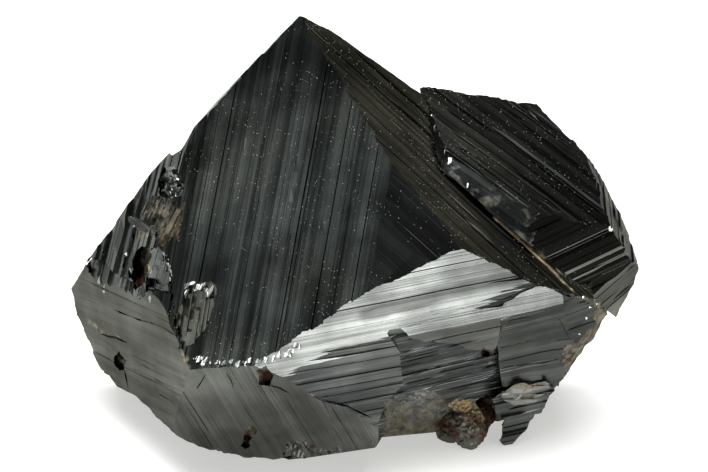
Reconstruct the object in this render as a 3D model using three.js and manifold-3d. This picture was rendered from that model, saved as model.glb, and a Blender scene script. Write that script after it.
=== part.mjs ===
// Magnetite specimen: two intergrown black crystals, octahedra bevelled by dodecahedron faces,
// with striated faces, broken sides and a rusty nodule. It grew as one piece, so it is one solid.
// Millimetres, +Z up, front towards -Y.

import * as THREE from "three";
import { mergeVertices } from "three/addons/utils/BufferGeometryUtils.js";
import Module from "manifold-3d";

const wasm = await Module();
wasm.setup();

// Driving dimensions. Distances are from the main crystal's centre.
const BASE_DROP = 8.5; // down to the flat broken base
const REACH = 34; // half-width of the block that each face is cut from
const RISER = 0.05; // width of the slope between two growth ledges
const LEDGE_LEAST = 0.35; // widths of the narrowest and the widest ledge, in pitches
const LEDGE_MOST = 1.65;
const PATCH = 3; // cells across a patch of a broken face
const PATCH_SHARE = 0.45; // how much of a broken face's relief goes by the patch, not by the cell
const LUMP_LEAST = 0.88; // the shortest and the longest radius of a lump, of its own radius
const LUMP_MOST = 1.12;
const LUMP_DETAIL = 2; // how often each triangle of a lump's icosahedron is split
const LUMP_SEED = 80;
const LUMP_STEPS = 50; // steps to a millimetre by which a lump's corners are told apart
const WELD = 1e-5; // corners nearer than this are one

// How each crystal's lattice is turned, in degrees: its a axis starts at +X, its c axis at +Z.
const MAIN_LATTICE = lattice(4.1, -5.4, -27);
const SECOND_LATTICE = lattice(8.1, -13.5, -24.7);

// Outlines of broken places are written as seen from the front: millimetres right of and above the
// point that is looked at, from this far away and this many degrees above the horizontal.
const LOOKED_AT = new THREE.Vector3(0.94, 1.04, 3.21);
const LOOK_DISTANCE = 250;
const LOOK_TILT = 18;
const NEAR = -16; // depths, behind the point looked at, between which a cut or a block reaches
const FAR = 16;
const BLOCK_ROOT = 4;

// Faces of the main crystal: indices on its lattice, distance, and the striations' own direction.
const MAIN_FACES = {
  front_striated: {
    face: [0.39, -1, 1],
    at: 9.26,
    along: [-0.1, 0.96, 1],
    ledges: { pitch: 0.6, depth: 0.14, seed: 3 },
  },
  front_smooth: {
    face: [0.67, -0.99, 1],
    at: 9.71,
    along: [1, 0, -1],
    ledges: { pitch: 2.4, depth: 0.05, seed: 5 },
  },
  upper_right: {
    face: [1, 0, 1],
    at: 10.49,
    along: [1, 0.1, -1],
    ledges: { pitch: 0.6, depth: 0.12, seed: 7 },
  },
  bright: {
    face: [1, -1, 0],
    at: 9.76,
    along: [1, 1, -0.04],
    ledges: { pitch: 0.5, depth: 0.12, seed: 9 },
  },
  lower_block: {
    face: [1, -0.95, -0.3],
    at: 9.37,
    along: [1, 1, -0.1],
    ledges: { pitch: 0.5, depth: 0.24, seed: 11 },
  },
  lower_front: {
    face: [0.34, -1, -0.77],
    at: 9.47,
    along: [0.08, -0.74, 1],
    ledges: { pitch: 0.9, depth: 0.06, seed: 13 },
  },
  lower_left: {
    face: [-0.81, -1, 0],
    at: 11.92,
    along: [-1, 0.81, -0.15],
    ledges: { pitch: 1.1, depth: 0.06, seed: 15 },
  },
  left: {
    face: [-1, -1, 1],
    at: 11.89,
    along: [-0.1, 0.96, 1],
    ledges: { pitch: 0.8, depth: 0.4, seed: 17 },
  },
  left_strip: { face: [-0.5, -1, 0.91], at: 11.94 },
  upper_left: {
    face: [-0.89, -0.16, 1],
    at: 12.54,
    along: [1, 0, 1.04],
    ledges: { pitch: 1.1, depth: 0.16, seed: 19 },
  },
  upper_left_low: {
    face: [-1, -0.12, 0.87],
    at: 12.63,
    along: [1, 0, 1.12],
    ledges: { pitch: 1.2, depth: 0.16, seed: 21 },
  },
  left_end: { face: [-1, -0.26, -0.01], at: 16.56, rough: { cell: 1.8, height: 0.4, seed: 23 } },
  left_foot: { face: [-1, -0.63, -0.62], at: 14.05, rough: { cell: 2, height: 0.35, seed: 25 } },
  foot: { face: [-0.66, -0.76, -1], at: 11.4, rough: { cell: 2, height: 0.3, seed: 27 } },
  front_foot: { face: [-0.45, -0.71, -1], at: 11.17, rough: { cell: 2, height: 0.2, seed: 29 } },
  underside: { face: [0, -0.4, -1], at: 9.25, rough: { cell: 2, height: 0.4, seed: 31 } },
  ridge_back: {
    face: [0.53, 1, 0.94],
    at: 11.64,
    along: [1, 0, -0.56],
    ledges: { pitch: 0.9, depth: 0.14, seed: 33 },
  },
  back_top: {
    face: [0, 1, 1],
    at: 12.7,
    along: [0, 1, -1],
    ledges: { pitch: 0.8, depth: 0.16, seed: 35 },
  },
  back_left: {
    face: [-1, 1, 1],
    at: 11.9,
    along: [1, 1, 0],
    ledges: { pitch: 0.9, depth: 0.14, seed: 37 },
  },
  back_left_side: {
    face: [-1, 1, 0],
    at: 12.6,
    along: [1, 1, 0],
    ledges: { pitch: 1.1, depth: 0.2, seed: 39 },
  },
  back: { face: [-0.5, 1, 0], at: 9.6, rough: { cell: 1.8, height: 0.7, seed: 41 } },
  back_foot: { face: [-0.5, 1, -1], at: 10, rough: { cell: 2, height: 0.7, seed: 43 } },
  right_end: { face: [1, 0.49, -0.26], at: 15.2, rough: { cell: 1.8, height: 0.3, seed: 45 } },
  right_rim: { face: [1, -0.2, -0.76], at: 11.39, rough: { cell: 0.9, height: 0.25, seed: 47 } },
  right_foot: { face: [0.92, 0.37, -1], at: 13.6, rough: { cell: 1.6, height: 0.3, seed: 49 } },
  right_low: { face: [1, 0.37, -0.76], at: 13.98, rough: { cell: 1.6, height: 0.3, seed: 51 } },
};

// Faces of the second crystal, on its own lattice.
const SECOND_FACES = {
  top: {
    face: [1, 0, 1],
    at: 11,
    along: [-1, 0.07, 1],
    ledges: { pitch: 0.5, depth: 0.14, seed: 53 },
  },
  ridged: {
    face: [1, -0.57, 0.21],
    at: 10.55,
    along: [0.59, 1, -0.06],
    ledges: { pitch: 0.55, depth: 0.3, seed: 55 },
  },
  grey_facet: { face: [0.93, -1, 0.81], at: 7.72 },
  pale_facet: { face: [-0.3, -0.74, 1], at: 2.67 },
  right_side: {
    face: [1, 0.39, 0.3],
    at: 15.65,
    along: [-0.41, 1, 0.05],
    ledges: { pitch: 0.8, depth: 0.12, seed: 57 },
  },
  right_low: { face: [1, -0.39, -0.54], at: 12.35 },
  right_end: { face: [1, 0.62, -0.14], at: 17.1, rough: { cell: 1.8, height: 0.25, seed: 59 } },
  right_corner: { face: [1, 0.39, -0.68], at: 15.86, rough: { cell: 1.8, height: 0.25, seed: 61 } },
  right_foot: { face: [0.69, 0.29, -1], at: 13.28, rough: { cell: 1.8, height: 0.3, seed: 63 } },
  back_top: {
    face: [-0.04, 0.74, 1],
    at: 11.22,
    along: [1, 0, 0],
    ledges: { pitch: 0.9, depth: 0.12, seed: 65 },
  },
  back_right: {
    face: [0.86, 1, 0.44],
    at: 16.1,
    along: [1, -1, 0.34],
    ledges: { pitch: 0.8, depth: 0.14, seed: 67 },
  },
  right_top: { face: [1, 0.8, 0.22], at: 16.7 },
  back: { face: [-0.3, 1, -0.1], at: 9.6, rough: { cell: 1.8, height: 0.6, seed: 69 } },
  underside: { face: [-0.2, 0.2, -1], at: 4.2, rough: { cell: 1.8, height: 0.6, seed: 71 } },
};

// The second crystal stands up out of the main one's upper right face. Beyond both sides of this seam
// the main crystal ends, and the second one overlaps it a little at each.
const SEAM = [
  { face: [0.88, 0.79, 1], at: 9.6, overlap: 0.1 },
  { face: [1, 0.58, 0.08], at: 7.51, overlap: 0.6 },
];

// Places cut in from the front, each down to a face or a rough floor of its own, to a depth, or right
// through.
const CUTS = [
  {
    // the lower right side, set back behind the striated block
    outline: [[1.9, -5.6], [2.6, -3.7], [16.3, -0.2], [18.6, -13.9], [1.4, -14.1], [1.4, -10.6],
      [1.9, -9.4], [2.8, -8.5], [2.6, -6.6]],
    floor: {
      face: [1, -1, -1],
      at: 7.46,
      along: [1, 1, 0],
      ledges: { pitch: 0.8, depth: 0.12, seed: 81 },
    },
  },
  {
    // chipped patch at the lower left of the striated front face
    outline: [[-9.8, -3.7], [-9.4, -2.8], [-8.1, -2.6], [-7.9, -3.4], [-8.3, -4.8], [-9.3, -6.2],
      [-10.1, -6.5], [-10.3, -5.1]],
    floor: { face: [0.2, -1, 0.9], at: 9.75, rough: { cell: 0.6, height: 0.25, seed: 83 } },
  },
  {
    // notch in the upper left edge
    outline: [[-10.4, 4.6], [-9.9, 4.9], [-9.7, 5.2], [-9.1, 6.3], [-9.7, 6.9], [-11, 5.2]],
    far: 6,
  },
  {
    // chip with glinting facets under the notch
    outline: [[-11.2, 3], [-10.9, 3.9], [-10.3, 4], [-9.8, 3.2], [-9.8, 2.3], [-10.5, 2.1],
      [-11.1, 2.3]],
    floor: { face: [-1, -1, 1], at: 11.5, rough: { cell: 0.5, height: 0.5, seed: 87 } },
  },
  {
    // rusty granular dip
    outline: [[-12.2, 1.8], [-11.5, 2.3], [-10.5, 2.2], [-9.8, 1.5], [-9.9, 0.1], [-11.1, -0.6],
      [-11.5, 0.2], [-12.1, 0.8]],
    floor: { face: [-0.8, -1, 1], at: 11.35, rough: { cell: 0.5, height: 0.4, seed: 89 } },
  },
  {
    // deep rusty cavity in the left side
    outline: [[-12.7, -1.5], [-12.2, -0.6], [-11.8, -0.6], [-11.7, -1.5], [-11.9, -2.6],
      [-12.5, -3.2], [-12.7, -2.5]],
    floor: { face: [-1, -1, 0.6], at: 11.2, rough: { cell: 0.6, height: 0.3, seed: 91 } },
  },
  {
    // smooth grey facet beside it
    outline: [[-11.8, -0.8], [-11.2, -0.6], [-10.7, -1.5], [-10.6, -2.7], [-11.5, -3.1],
      [-11.9, -2.3]],
    floor: { face: [-0.55, -1, 0.6], at: 12.1 },
  },
  {
    // foot of the ridged left face
    outline: [[-15.3, -1.5], [-14.9, -2.3], [-14.4, -3.2], [-13.8, -3.3], [-11.8, -3.3], [-12.3, -2.5],
      [-13.9, -1.9], [-14.9, -1.2]],
    floor: {
      face: [-1, -1, 1],
      at: 11.5,
      along: [-0.1, 0.96, 1],
      ledges: { pitch: 0.8, depth: 0.2, seed: 18 },
    },
  },
  {
    // pit at the top of the lower front face
    outline: [[-5.6, -7.7], [-5, -7.4], [-4.6, -8], [-4.8, -8.6], [-5.4, -8.5]],
    floor: { face: [0.34, -1, -0.77], at: 8.95, rough: { cell: 0.5, height: 0.3, seed: 93 } },
  },
  {
    // crack in its lower edge
    outline: [[-6.5, -12], [-6.3, -11.3], [-5.8, -10.8], [-5.5, -11.1], [-5.8, -11.5],
      [-6.2, -12.2]],
    floor: { face: [0.34, -1, -0.77], at: 9, rough: { cell: 0.5, height: 0.3, seed: 95 } },
  },
  {
    // ragged hollow in its foot
    outline: [[-3.8, -11.8], [-2.7, -11.7], [-2.1, -12.1], [-0.6, -12.1], [-0.1, -12.5],
      [-1.4, -13.4], [-4.2, -13.4]],
    floor: { face: [0.3, -0.9, -0.9], at: 9.2, rough: { cell: 0.6, height: 0.5, seed: 97 } },
  },
  {
    // hollow under the crystal, right of its lower front face
    outline: [[1.3, -12], [1.6, -11.5], [4.8, -11.2], [5, -10.9], [5.8, -10.9], [6.1, -12.3],
      [6.2, -14.5], [1.3, -14.5]],
  },
  {
    // chip along the lower front edge
    outline: [[-2.8, -14.5], [-2.8, -12.7], [1.2, -12.1], [1.4, -11.9], [1.5, -14.5]],
  },
  {
    // granular corner left of the nodule
    outline: [[1.4, -11.7], [1.7, -9.5], [2.6, -9.1], [4.5, -8.9], [5.3, -9.4], [5.8, -10.1],
      [5.8, -11.7]],
    floor: { face: [1, -1, -1], at: 7.15, rough: { cell: 0.6, height: 0.3, seed: 101 } },
  },
  {
    // rusty hollow between the nodule and the corner block
    outline: [[6.9, -9.5], [7.5, -9.1], [8.3, -9.1], [8.6, -10.3], [8.5, -11.8], [7.8, -12.2],
      [7, -11.8]],
    floor: { face: [1, -1, -1], at: 5.8, rough: { cell: 0.6, height: 0.3, seed: 103 } },
  },
  {
    // pit in the lower left face
    outline: [[-13.7, -6.9], [-13.4, -6.6], [-13, -7.1], [-13.2, -7.7], [-13.6, -7.5]],
    floor: { face: [-0.81, -1, 0], at: 11.4, rough: { cell: 0.5, height: 0.3, seed: 99 } },
  },
];

// Blocks that stand out of the lower right side, each up to a face of its own.
const BLOCKS = [
  {
    // flat grey wedge under the bright face
    outline: [[1.9, -5], [5.2, -4.5], [8.7, -3.9], [8.3, -5.7], [7.9, -6.6], [6.6, -6.5],
      [4.9, -6.1], [3.2, -5.8]],
    front: { face: [1, -1.06, -0.9], at: 8.05 },
  },
  {
    // smooth rounded block at the right
    outline: [[8.2, -6.3], [8.4, -5], [8.6, -3.8], [11.9, -2.9], [12.2, -5], [12.6, -6.2],
      [11.9, -6.7], [12.1, -7.7], [11.7, -8.6], [10.6, -8.4], [9.3, -8.5], [8.5, -8.6], [8.3, -7.5]],
    front: { face: [1, -1, -0.93], at: 8 },
  },
  {
    // facet at its right end
    outline: [[11.8, -4.6], [12, -2.9], [13.7, -2.6], [13.9, -5], [12.7, -6.3], [12.3, -5.6]],
    front: { face: [1, -0.7, -0.7], at: 9.6 },
  },
  {
    // bluish striated block at the lower right corner
    outline: [[7.9, -9.3], [9.2, -8.5], [10.9, -8.3], [11.5, -8.8], [10.9, -9.8], [9.9, -11],
      [8.7, -12.1], [8.3, -11.7], [8.6, -10.5], [8.1, -10.1]],
    front: {
      face: [1, -1, -0.6],
      at: 7.85,
      along: [1, 1, 0],
      ledges: { pitch: 0.6, depth: 0.25, seed: 75 },
    },
  },
];

// The rusty nodule: lumps as [right, up, behind the point looked at, radius], seen from the front.
const NODULE_LUMPS = [
  [6.5, -10.8, 0.6, 1.25],
  [5.7, -10.5, 0.7, 0.85],
  [6.6, -11.5, 0.5, 0.75],
  [7.3, -10.2, 1.6, 0.8],
  [5.4, -11.2, 1.5, 0.7],
];

// A lattice turned about X, then Y, then Z, in degrees.
function lattice(x, y, z) {
  const turn = new THREE.Euler(
    THREE.MathUtils.degToRad(x),
    THREE.MathUtils.degToRad(y),
    THREE.MathUtils.degToRad(z),
    "ZYX",
  );
  return new THREE.Matrix4().makeRotationFromEuler(turn);
}

// A direction given by its indices on a lattice.
function direction(on, indices) {
  return new THREE.Vector3(...indices).transformDirection(on);
}

// A number from 0 to 1 that depends only on what it is given.
function chance(seed, i, j = 0) {
  const wave = Math.sin(seed * 12.9898 + i * 78.233 + j * 37.719) * 43758.5453;
  return wave - Math.floor(wave);
}

// A closed geometry as a solid.
function solidOf(geometry) {
  geometry.deleteAttribute("normal");
  geometry.deleteAttribute("uv");
  const merged = mergeVertices(geometry, WELD);
  return new wasm.Manifold(
    new wasm.Mesh({
      numProp: 3,
      vertProperties: merged.attributes.position.array,
      triVerts: new Uint32Array(merged.index.array),
    }),
  );
}

// A frame whose Y is the face's normal and whose Z runs along the striations, at the face's middle.
function faceFrame(on, { face, at, along = [0.3, 0.5, 0.8] }) {
  const normal = direction(on, face);
  const run = direction(on, along).projectOnPlane(normal).normalize();
  const across = new THREE.Vector3().crossVectors(normal, run);
  return new THREE.Matrix4()
    .makeBasis(across, normal, run)
    .setPosition(normal.clone().multiplyScalar(at));
}

// The section of a face with growth ledges: level strips at random depths, with steep risers.
function ledgeOutline({ pitch, depth, seed }) {
  const outline = [];
  let across = -REACH;
  for (let i = 0; across < REACH; i += 1) {
    const drop = depth * (0.5 - chance(seed, i));
    const width = pitch * THREE.MathUtils.lerp(LEDGE_LEAST, LEDGE_MOST, chance(seed, i, 1));
    const end = Math.min(across + width, REACH);
    outline.push([across + RISER, drop], [end, drop]);
    across = end;
  }
  return outline;
}

// Everything behind a crystal face: a block whose top is level or stepped.
function behindFace(on, spec) {
  const top = spec.ledges
    ? ledgeOutline(spec.ledges)
    : [
        [-REACH, 0],
        [REACH, 0],
      ];
  const outline = new THREE.Shape([
    new THREE.Vector2(top[0][0], -REACH),
    ...top.map(([x, y]) => new THREE.Vector2(x, y)),
    new THREE.Vector2(REACH, -REACH),
  ].reverse());
  const block = new THREE.ExtrudeGeometry(outline, {
    depth: 2 * REACH,
    steps: 1,
    bevelEnabled: false,
  });
  block.translate(0, 0, -REACH);
  return solidOf(block.applyMatrix4(faceFrame(on, spec)));
}

// Everything behind a broken face: a block whose top is hackly.
function behindBreak(on, spec) {
  const { cell, height, seed } = spec.rough;
  const count = Math.round((2 * REACH) / cell);
  const block = new THREE.BoxGeometry(
    2 * REACH,
    REACH,
    2 * REACH,
    count,
    1,
    count,
  );
  block.translate(0, -REACH / 2, 0);
  const place = block.attributes.position;
  for (let i = 0; i < place.count; i += 1) {
    const onBottom = place.getY(i) < -REACH / 2;
    if (onBottom) continue;
    const column = Math.round(place.getX(i) / cell);
    const row = Math.round(place.getZ(i) / cell);
    const fine = chance(seed, column, row);
    const coarse = chance(seed + 1, Math.floor(column / PATCH), Math.floor(row / PATCH));
    place.setY(i, height * (0.5 - THREE.MathUtils.lerp(fine, coarse, PATCH_SHARE)));
  }
  return solidOf(block.applyMatrix4(faceFrame(on, spec)));
}

function behind(on, spec) {
  return spec.rough ? behindBreak(on, spec) : behindFace(on, spec);
}

function crystal(on, faces) {
  return Object.values(faces)
    .map((spec) => behind(on, spec))
    .reduce((whole, next) => whole.intersect(next));
}

// The front view's own frame: X right, Y up, Z towards the eye, at the point looked at.
function lookFrame() {
  const tilt = THREE.MathUtils.degToRad(LOOK_TILT);
  const towardsEye = new THREE.Vector3(0, -Math.cos(tilt), Math.sin(tilt));
  const up = new THREE.Vector3(0, Math.sin(tilt), Math.cos(tilt));
  return new THREE.Matrix4()
    .makeBasis(new THREE.Vector3(1, 0, 0), up, towardsEye)
    .setPosition(LOOKED_AT);
}

// Everything that the eye sees within an outline, between a near and a far depth.
function sightCone(outline, near, far) {
  const shape = new THREE.Shape(outline.map(([x, y]) => new THREE.Vector2(x, y)));
  const cone = new THREE.ExtrudeGeometry(shape, {
    depth: far - near,
    steps: 1,
    bevelEnabled: false,
  });
  cone.translate(0, 0, -far);
  const place = cone.attributes.position;
  for (let i = 0; i < place.count; i += 1) {
    const spread = (LOOK_DISTANCE - place.getZ(i)) / LOOK_DISTANCE;
    place.setX(i, place.getX(i) * spread);
    place.setY(i, place.getY(i) * spread);
  }
  return solidOf(cone.applyMatrix4(lookFrame()));
}

// A lump of the nodule, numbered i. Corners at one place get one radius.
function lump([right, up, behindPoint, radius], i) {
  const ball = new THREE.IcosahedronGeometry(radius, LUMP_DETAIL);
  const place = ball.attributes.position;
  for (let k = 0; k < place.count; k += 1) {
    const [x, y, z] = [place.getX(k), place.getY(k), place.getZ(k)].map((v) => Math.round(v * LUMP_STEPS));
    const swell = THREE.MathUtils.lerp(LUMP_LEAST, LUMP_MOST, chance(i + LUMP_SEED, x + y * 3, z));
    place.setXYZ(k, place.getX(k) * swell, place.getY(k) * swell, place.getZ(k) * swell);
  }
  const spread = (LOOK_DISTANCE + behindPoint) / LOOK_DISTANCE;
  ball.translate(right * spread, up * spread, -behindPoint);
  return solidOf(ball.applyMatrix4(lookFrame()));
}

// What lies beyond both sides of the seam, with its overlap or without.
function beyondSeam(withOverlap) {
  const everything = new THREE.BoxGeometry(2 * REACH, 2 * REACH, 2 * REACH);
  return SEAM.map(({ face, at, overlap }) => ({ face, at: withOverlap ? at - overlap : at })).reduce(
    (rest, side) => rest.subtract(behind(MAIN_LATTICE, side)),
    solidOf(everything),
  );
}

let body = crystal(MAIN_LATTICE, MAIN_FACES).subtract(beyondSeam(false));

for (const { outline, floor, far = FAR } of CUTS) {
  const inSight = sightCone(outline, NEAR, far);
  body = body.subtract(floor ? inSight.subtract(behind(MAIN_LATTICE, floor)) : inSight);
}

for (const { outline, front } of BLOCKS) {
  const inSight = sightCone(outline, NEAR, BLOCK_ROOT);
  body = body.add(
    [front, MAIN_FACES.bright, MAIN_FACES.upper_right, MAIN_FACES.right_end]
      .map((spec) => behind(MAIN_LATTICE, spec))
      .reduce((whole, next) => whole.intersect(next), inSight),
  );
}

body = NODULE_LUMPS.map(lump).reduce((whole, next) => whole.add(next), body);
body = body.add(crystal(SECOND_LATTICE, SECOND_FACES).intersect(beyondSeam(true)));

// Cut off flat where it broke from its rock.
const aboveBase = new THREE.BoxGeometry(2 * REACH, 2 * REACH, 2 * REACH);
aboveBase.translate(0, 0, REACH - BASE_DROP);
body = body.intersect(solidOf(aboveBase));

// A cut can leave a loose sliver: keep the crystals alone.
body = body.decompose().reduce((most, next) => (next.volume() > most.volume() ? next : most));

// The solid as a geometry whose origin is under the middle of its box.
function geometryOf(solid) {
  const { numProp, vertProperties, triVerts } = solid.getMesh();
  const geometry = new THREE.BufferGeometry();
  const place = new THREE.InterleavedBuffer(vertProperties, numProp);
  geometry.setAttribute("position", new THREE.InterleavedBufferAttribute(place, 3, 0));
  geometry.setIndex(new THREE.BufferAttribute(triVerts, 1));
  return geometry;
}

const geometry = geometryOf(body).toNonIndexed();
geometry.computeBoundingBox();
const { min, max } = geometry.boundingBox;
geometry.translate(-(min.x + max.x) / 2, -(min.y + max.y) / 2, -min.z);
geometry.computeVertexNormals();

const black = new THREE.MeshStandardMaterial({
  color: 0x2b2d2e,
  roughness: 0.35,
  metalness: 0.85,
});
const crystals = new THREE.Mesh(geometry, black);
crystals.name = "magnetite_crystals";

const group = new THREE.Group();
group.add(crystals);

export default group;
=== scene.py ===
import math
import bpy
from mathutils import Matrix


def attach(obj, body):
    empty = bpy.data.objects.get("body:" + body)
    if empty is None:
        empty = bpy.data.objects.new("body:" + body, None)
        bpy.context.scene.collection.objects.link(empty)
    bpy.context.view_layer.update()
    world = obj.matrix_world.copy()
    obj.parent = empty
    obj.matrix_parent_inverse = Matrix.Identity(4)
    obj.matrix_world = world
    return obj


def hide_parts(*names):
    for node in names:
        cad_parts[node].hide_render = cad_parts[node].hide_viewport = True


bl_info = {
    "name": "Magnetite specimen",
    "version": (1, 0, 0),
    "blender": (4, 5, 0),
    "location": "3D View > Sidebar > Magnetite",
    "description": "Two intergrown magnetite crystals with striated faces, broken sides and a rusty nodule",
    "category": "Object",
}

from typing import NamedTuple

import bmesh
import bpy
import numpy as np
from mathutils import Matrix, Vector, noise

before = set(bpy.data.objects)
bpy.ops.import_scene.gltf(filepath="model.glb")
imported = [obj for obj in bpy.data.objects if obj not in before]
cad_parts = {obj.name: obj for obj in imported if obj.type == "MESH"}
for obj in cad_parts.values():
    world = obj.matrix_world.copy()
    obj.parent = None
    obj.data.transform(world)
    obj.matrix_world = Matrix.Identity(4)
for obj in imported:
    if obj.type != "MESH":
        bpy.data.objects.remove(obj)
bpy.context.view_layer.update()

MM = 0.001
NODE = "magnetite_crystals"

# The crystals are worked out in millimetres from the main crystal's centre, then moved to the part's
# own origin.
BASE_DROP = 8.5  # how far the flat base lies below that centre
TO_PART = Vector((-0.7935, 0.8934, BASE_DROP))
REACH = 34.0  # half the width of the blocks that the crystals are cut with
SHEET = 40.0  # half the width of the sheet that a face's outline is clipped from
MARGIN = 2.2  # how far the fine part of a face runs past the face's own outline
SQUARE = ((-1, -1), (1, -1), (1, 1), (-1, 1))
TINY = 1e-9

# The front view, in which the outlines of broken places are written: millimetres right of and above
# the point looked at.
LOOKED_AT = Vector((0.94, 1.04, 3.21))
LOOK_DISTANCE = 250.0
LOOK_TILT = math.radians(18)
RIGHT = Vector((1, 0, 0))
UPWARD = Vector((0, math.sin(LOOK_TILT), math.cos(LOOK_TILT)))
TO_EYE = Vector((0, -math.cos(LOOK_TILT), math.sin(LOOK_TILT)))
EYE = LOOKED_AT + TO_EYE * LOOK_DISTANCE
NEAR = -16.0  # where a cut begins, behind the point looked at
FAR = 16.0  # where it ends
BLOCK_ROOT = 4.0  # where a block is rooted
PHOTO_WIDTH = 708  # pixels
PHOTO_SCALE = 17.5  # pixels to a millimetre at the point looked at

# Striated faces: ledges, split into fine strips that each have a narrow steep side.
LEAST_LEDGE = 0.35  # the narrowest ledge, as a share of the pitch
LEDGE_RANGE = 1.3  # how much wider than that a ledge may be
EVENNESS = 0.3  # how evenly the strips share a ledge
THINNEST_STRIP = 0.03
RISER = 0.05  # the steep side of a ledge
FINE_RISER = 0.4  # the steep side of a strip, as a share of a ledge's
WIDEST_RISER = 0.4  # the most that a steep side takes of its strip
WAVE_LENGTHS = (9.0, 4.5, 2.4)  # slow waves over the whole face
WAVES_OF_EACH = 3

# Broken faces: facets of two sizes, each tilted and a little hollow.
SMALL_FACETS = 0.45  # the smaller facets, as a share of the larger
FACET_TILT = 0.5
FACET_HOLLOW = 0.6
LEAST_POINTS = 6  # along each side of a broken face

# How far the sides of broken places wander, and where the random seeds of each kind begin.
RAGGED = {"cut": 0.1, "block": 0.07, "crack": 0.03, "chip": 0.08}
SEEDS = {
    "face": 100, "cut": 300, "late_cut": 350, "block": 400, "block_face": 420, "seam": 500, "crack": 600,
    "crack_floor": 700, "chip": 800, "chip_floor": 900, "chip_row": 60, "dust": 7,
}

# Finishes: roughness, how earthy (0 bare metal, 1 dull crust), tint (-1 brown to 1 blue), tone and painted
# light.
# The last is partly each face's own tone and partly painted light and shade: faces that reflect little are
# made lighter, faces that look too bright darker.
FINISHES = {
    "bluish": (0.2, 0.0, 0.6, 1.0),
    "black": (0.2, 0.0, 0.1, 0.9),
    "brownish": (0.22, 0.0, -0.5, 1.0),
    "bright": (0.27, 0.0, 0.0, 1.0),
    "satin": (0.32, 0.0, -0.2, 0.95),
    "dull": (0.36, 0.05, -0.2, 0.84),
    "pale": (0.36, 0.1, 0.4, 0.75),
    "broken": (0.38, 0.3, -0.3, 0.8),
    "prism": (0.26, 0.05, 0.2, 1.5),
    "streaky": (0.3, 0.2, -0.6, 2.4),
    "banded": (0.22, 0.0, 0.35, 1.3),
    "filmed": (0.34, 0.36, 0.5, 1.6),
    "smooth": (0.36, 0.05, 0.0, 0.57),
    "slate": (0.36, 0.12, 0.45, 0.62),
    "gritty": (0.4, 0.5, -0.2, 1.3),
    "granular": (0.4, 0.42, -0.2, 1.1),
    # Painted highlight: the glint chips are made 2.4 times as light as bare metal, on top of the lamp's own
    # reflection.
    "glint": (0.16, 0.0, 0.0, 2.4),
    "weathered": (0.4, 0.33, -0.4, 0.8),
    "crust": (0.5, 0.85, -0.4, 0.7),
    "knobbly": (0.27, 0.34, -0.6, 1.0),
}
FINISH_KEYS = ("roughness", "earthy", "tint", "tone_and_painted_light")


class Ledges(NamedTuple):
    """Growth ledges along a face."""

    pitch: float
    depth: float
    seed: int


class Strips(NamedTuple):
    """Fine strips along a face. Angles are in degrees."""

    pitch: float
    spread: float  # how much their tilts differ
    step: float  # how much their heights differ
    run: float  # how far a strip keeps its tilt
    row: float  # the spacing of the points along it
    tread: float = 0  # the tilt that they share
    leaning: tuple = (0, 0)  # the share of them that leans instead, and by how much
    swell: float = 0.03  # how tall the slow waves are


class Rough(NamedTuple):
    """The facets of a broken face."""

    cell: float
    height: float
    grain: float = 0.16  # the spacing of its points


PLAIN = Strips(2.0, 0, 0, 30, 4)  # for a face without striations


class Face(NamedTuple):
    """A crystal's face, or the floor or front of a broken place."""

    facing: tuple  # the way that it faces, in the lattice
    at: float  # its distance from the main crystal's centre
    finish: str = "broken"
    along: tuple = (0.3, 0.5, 0.8)  # the way that its striations run, in the lattice
    ledges: Ledges = None
    strips: Strips = PLAIN
    rough: Rough = None


class Place(NamedTuple):
    """A place seen within an outline of the front view: a hollow or a block."""

    outline: list
    face: Face = None
    far: float = FAR
    ragged: bool = True


def lattice(x, y, z):
    """A lattice turned about X, then Y, then Z, in degrees."""
    turned = Matrix.Identity(3)
    for angle, axis in ((z, "Z"), (y, "Y"), (x, "X")):
        turned = turned @ Matrix.Rotation(math.radians(angle), 3, axis)
    return turned


MAIN_LATTICE = lattice(4.1, -5.4, -27)
SECOND_LATTICE = lattice(8.1, -13.5, -24.7)

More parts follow.
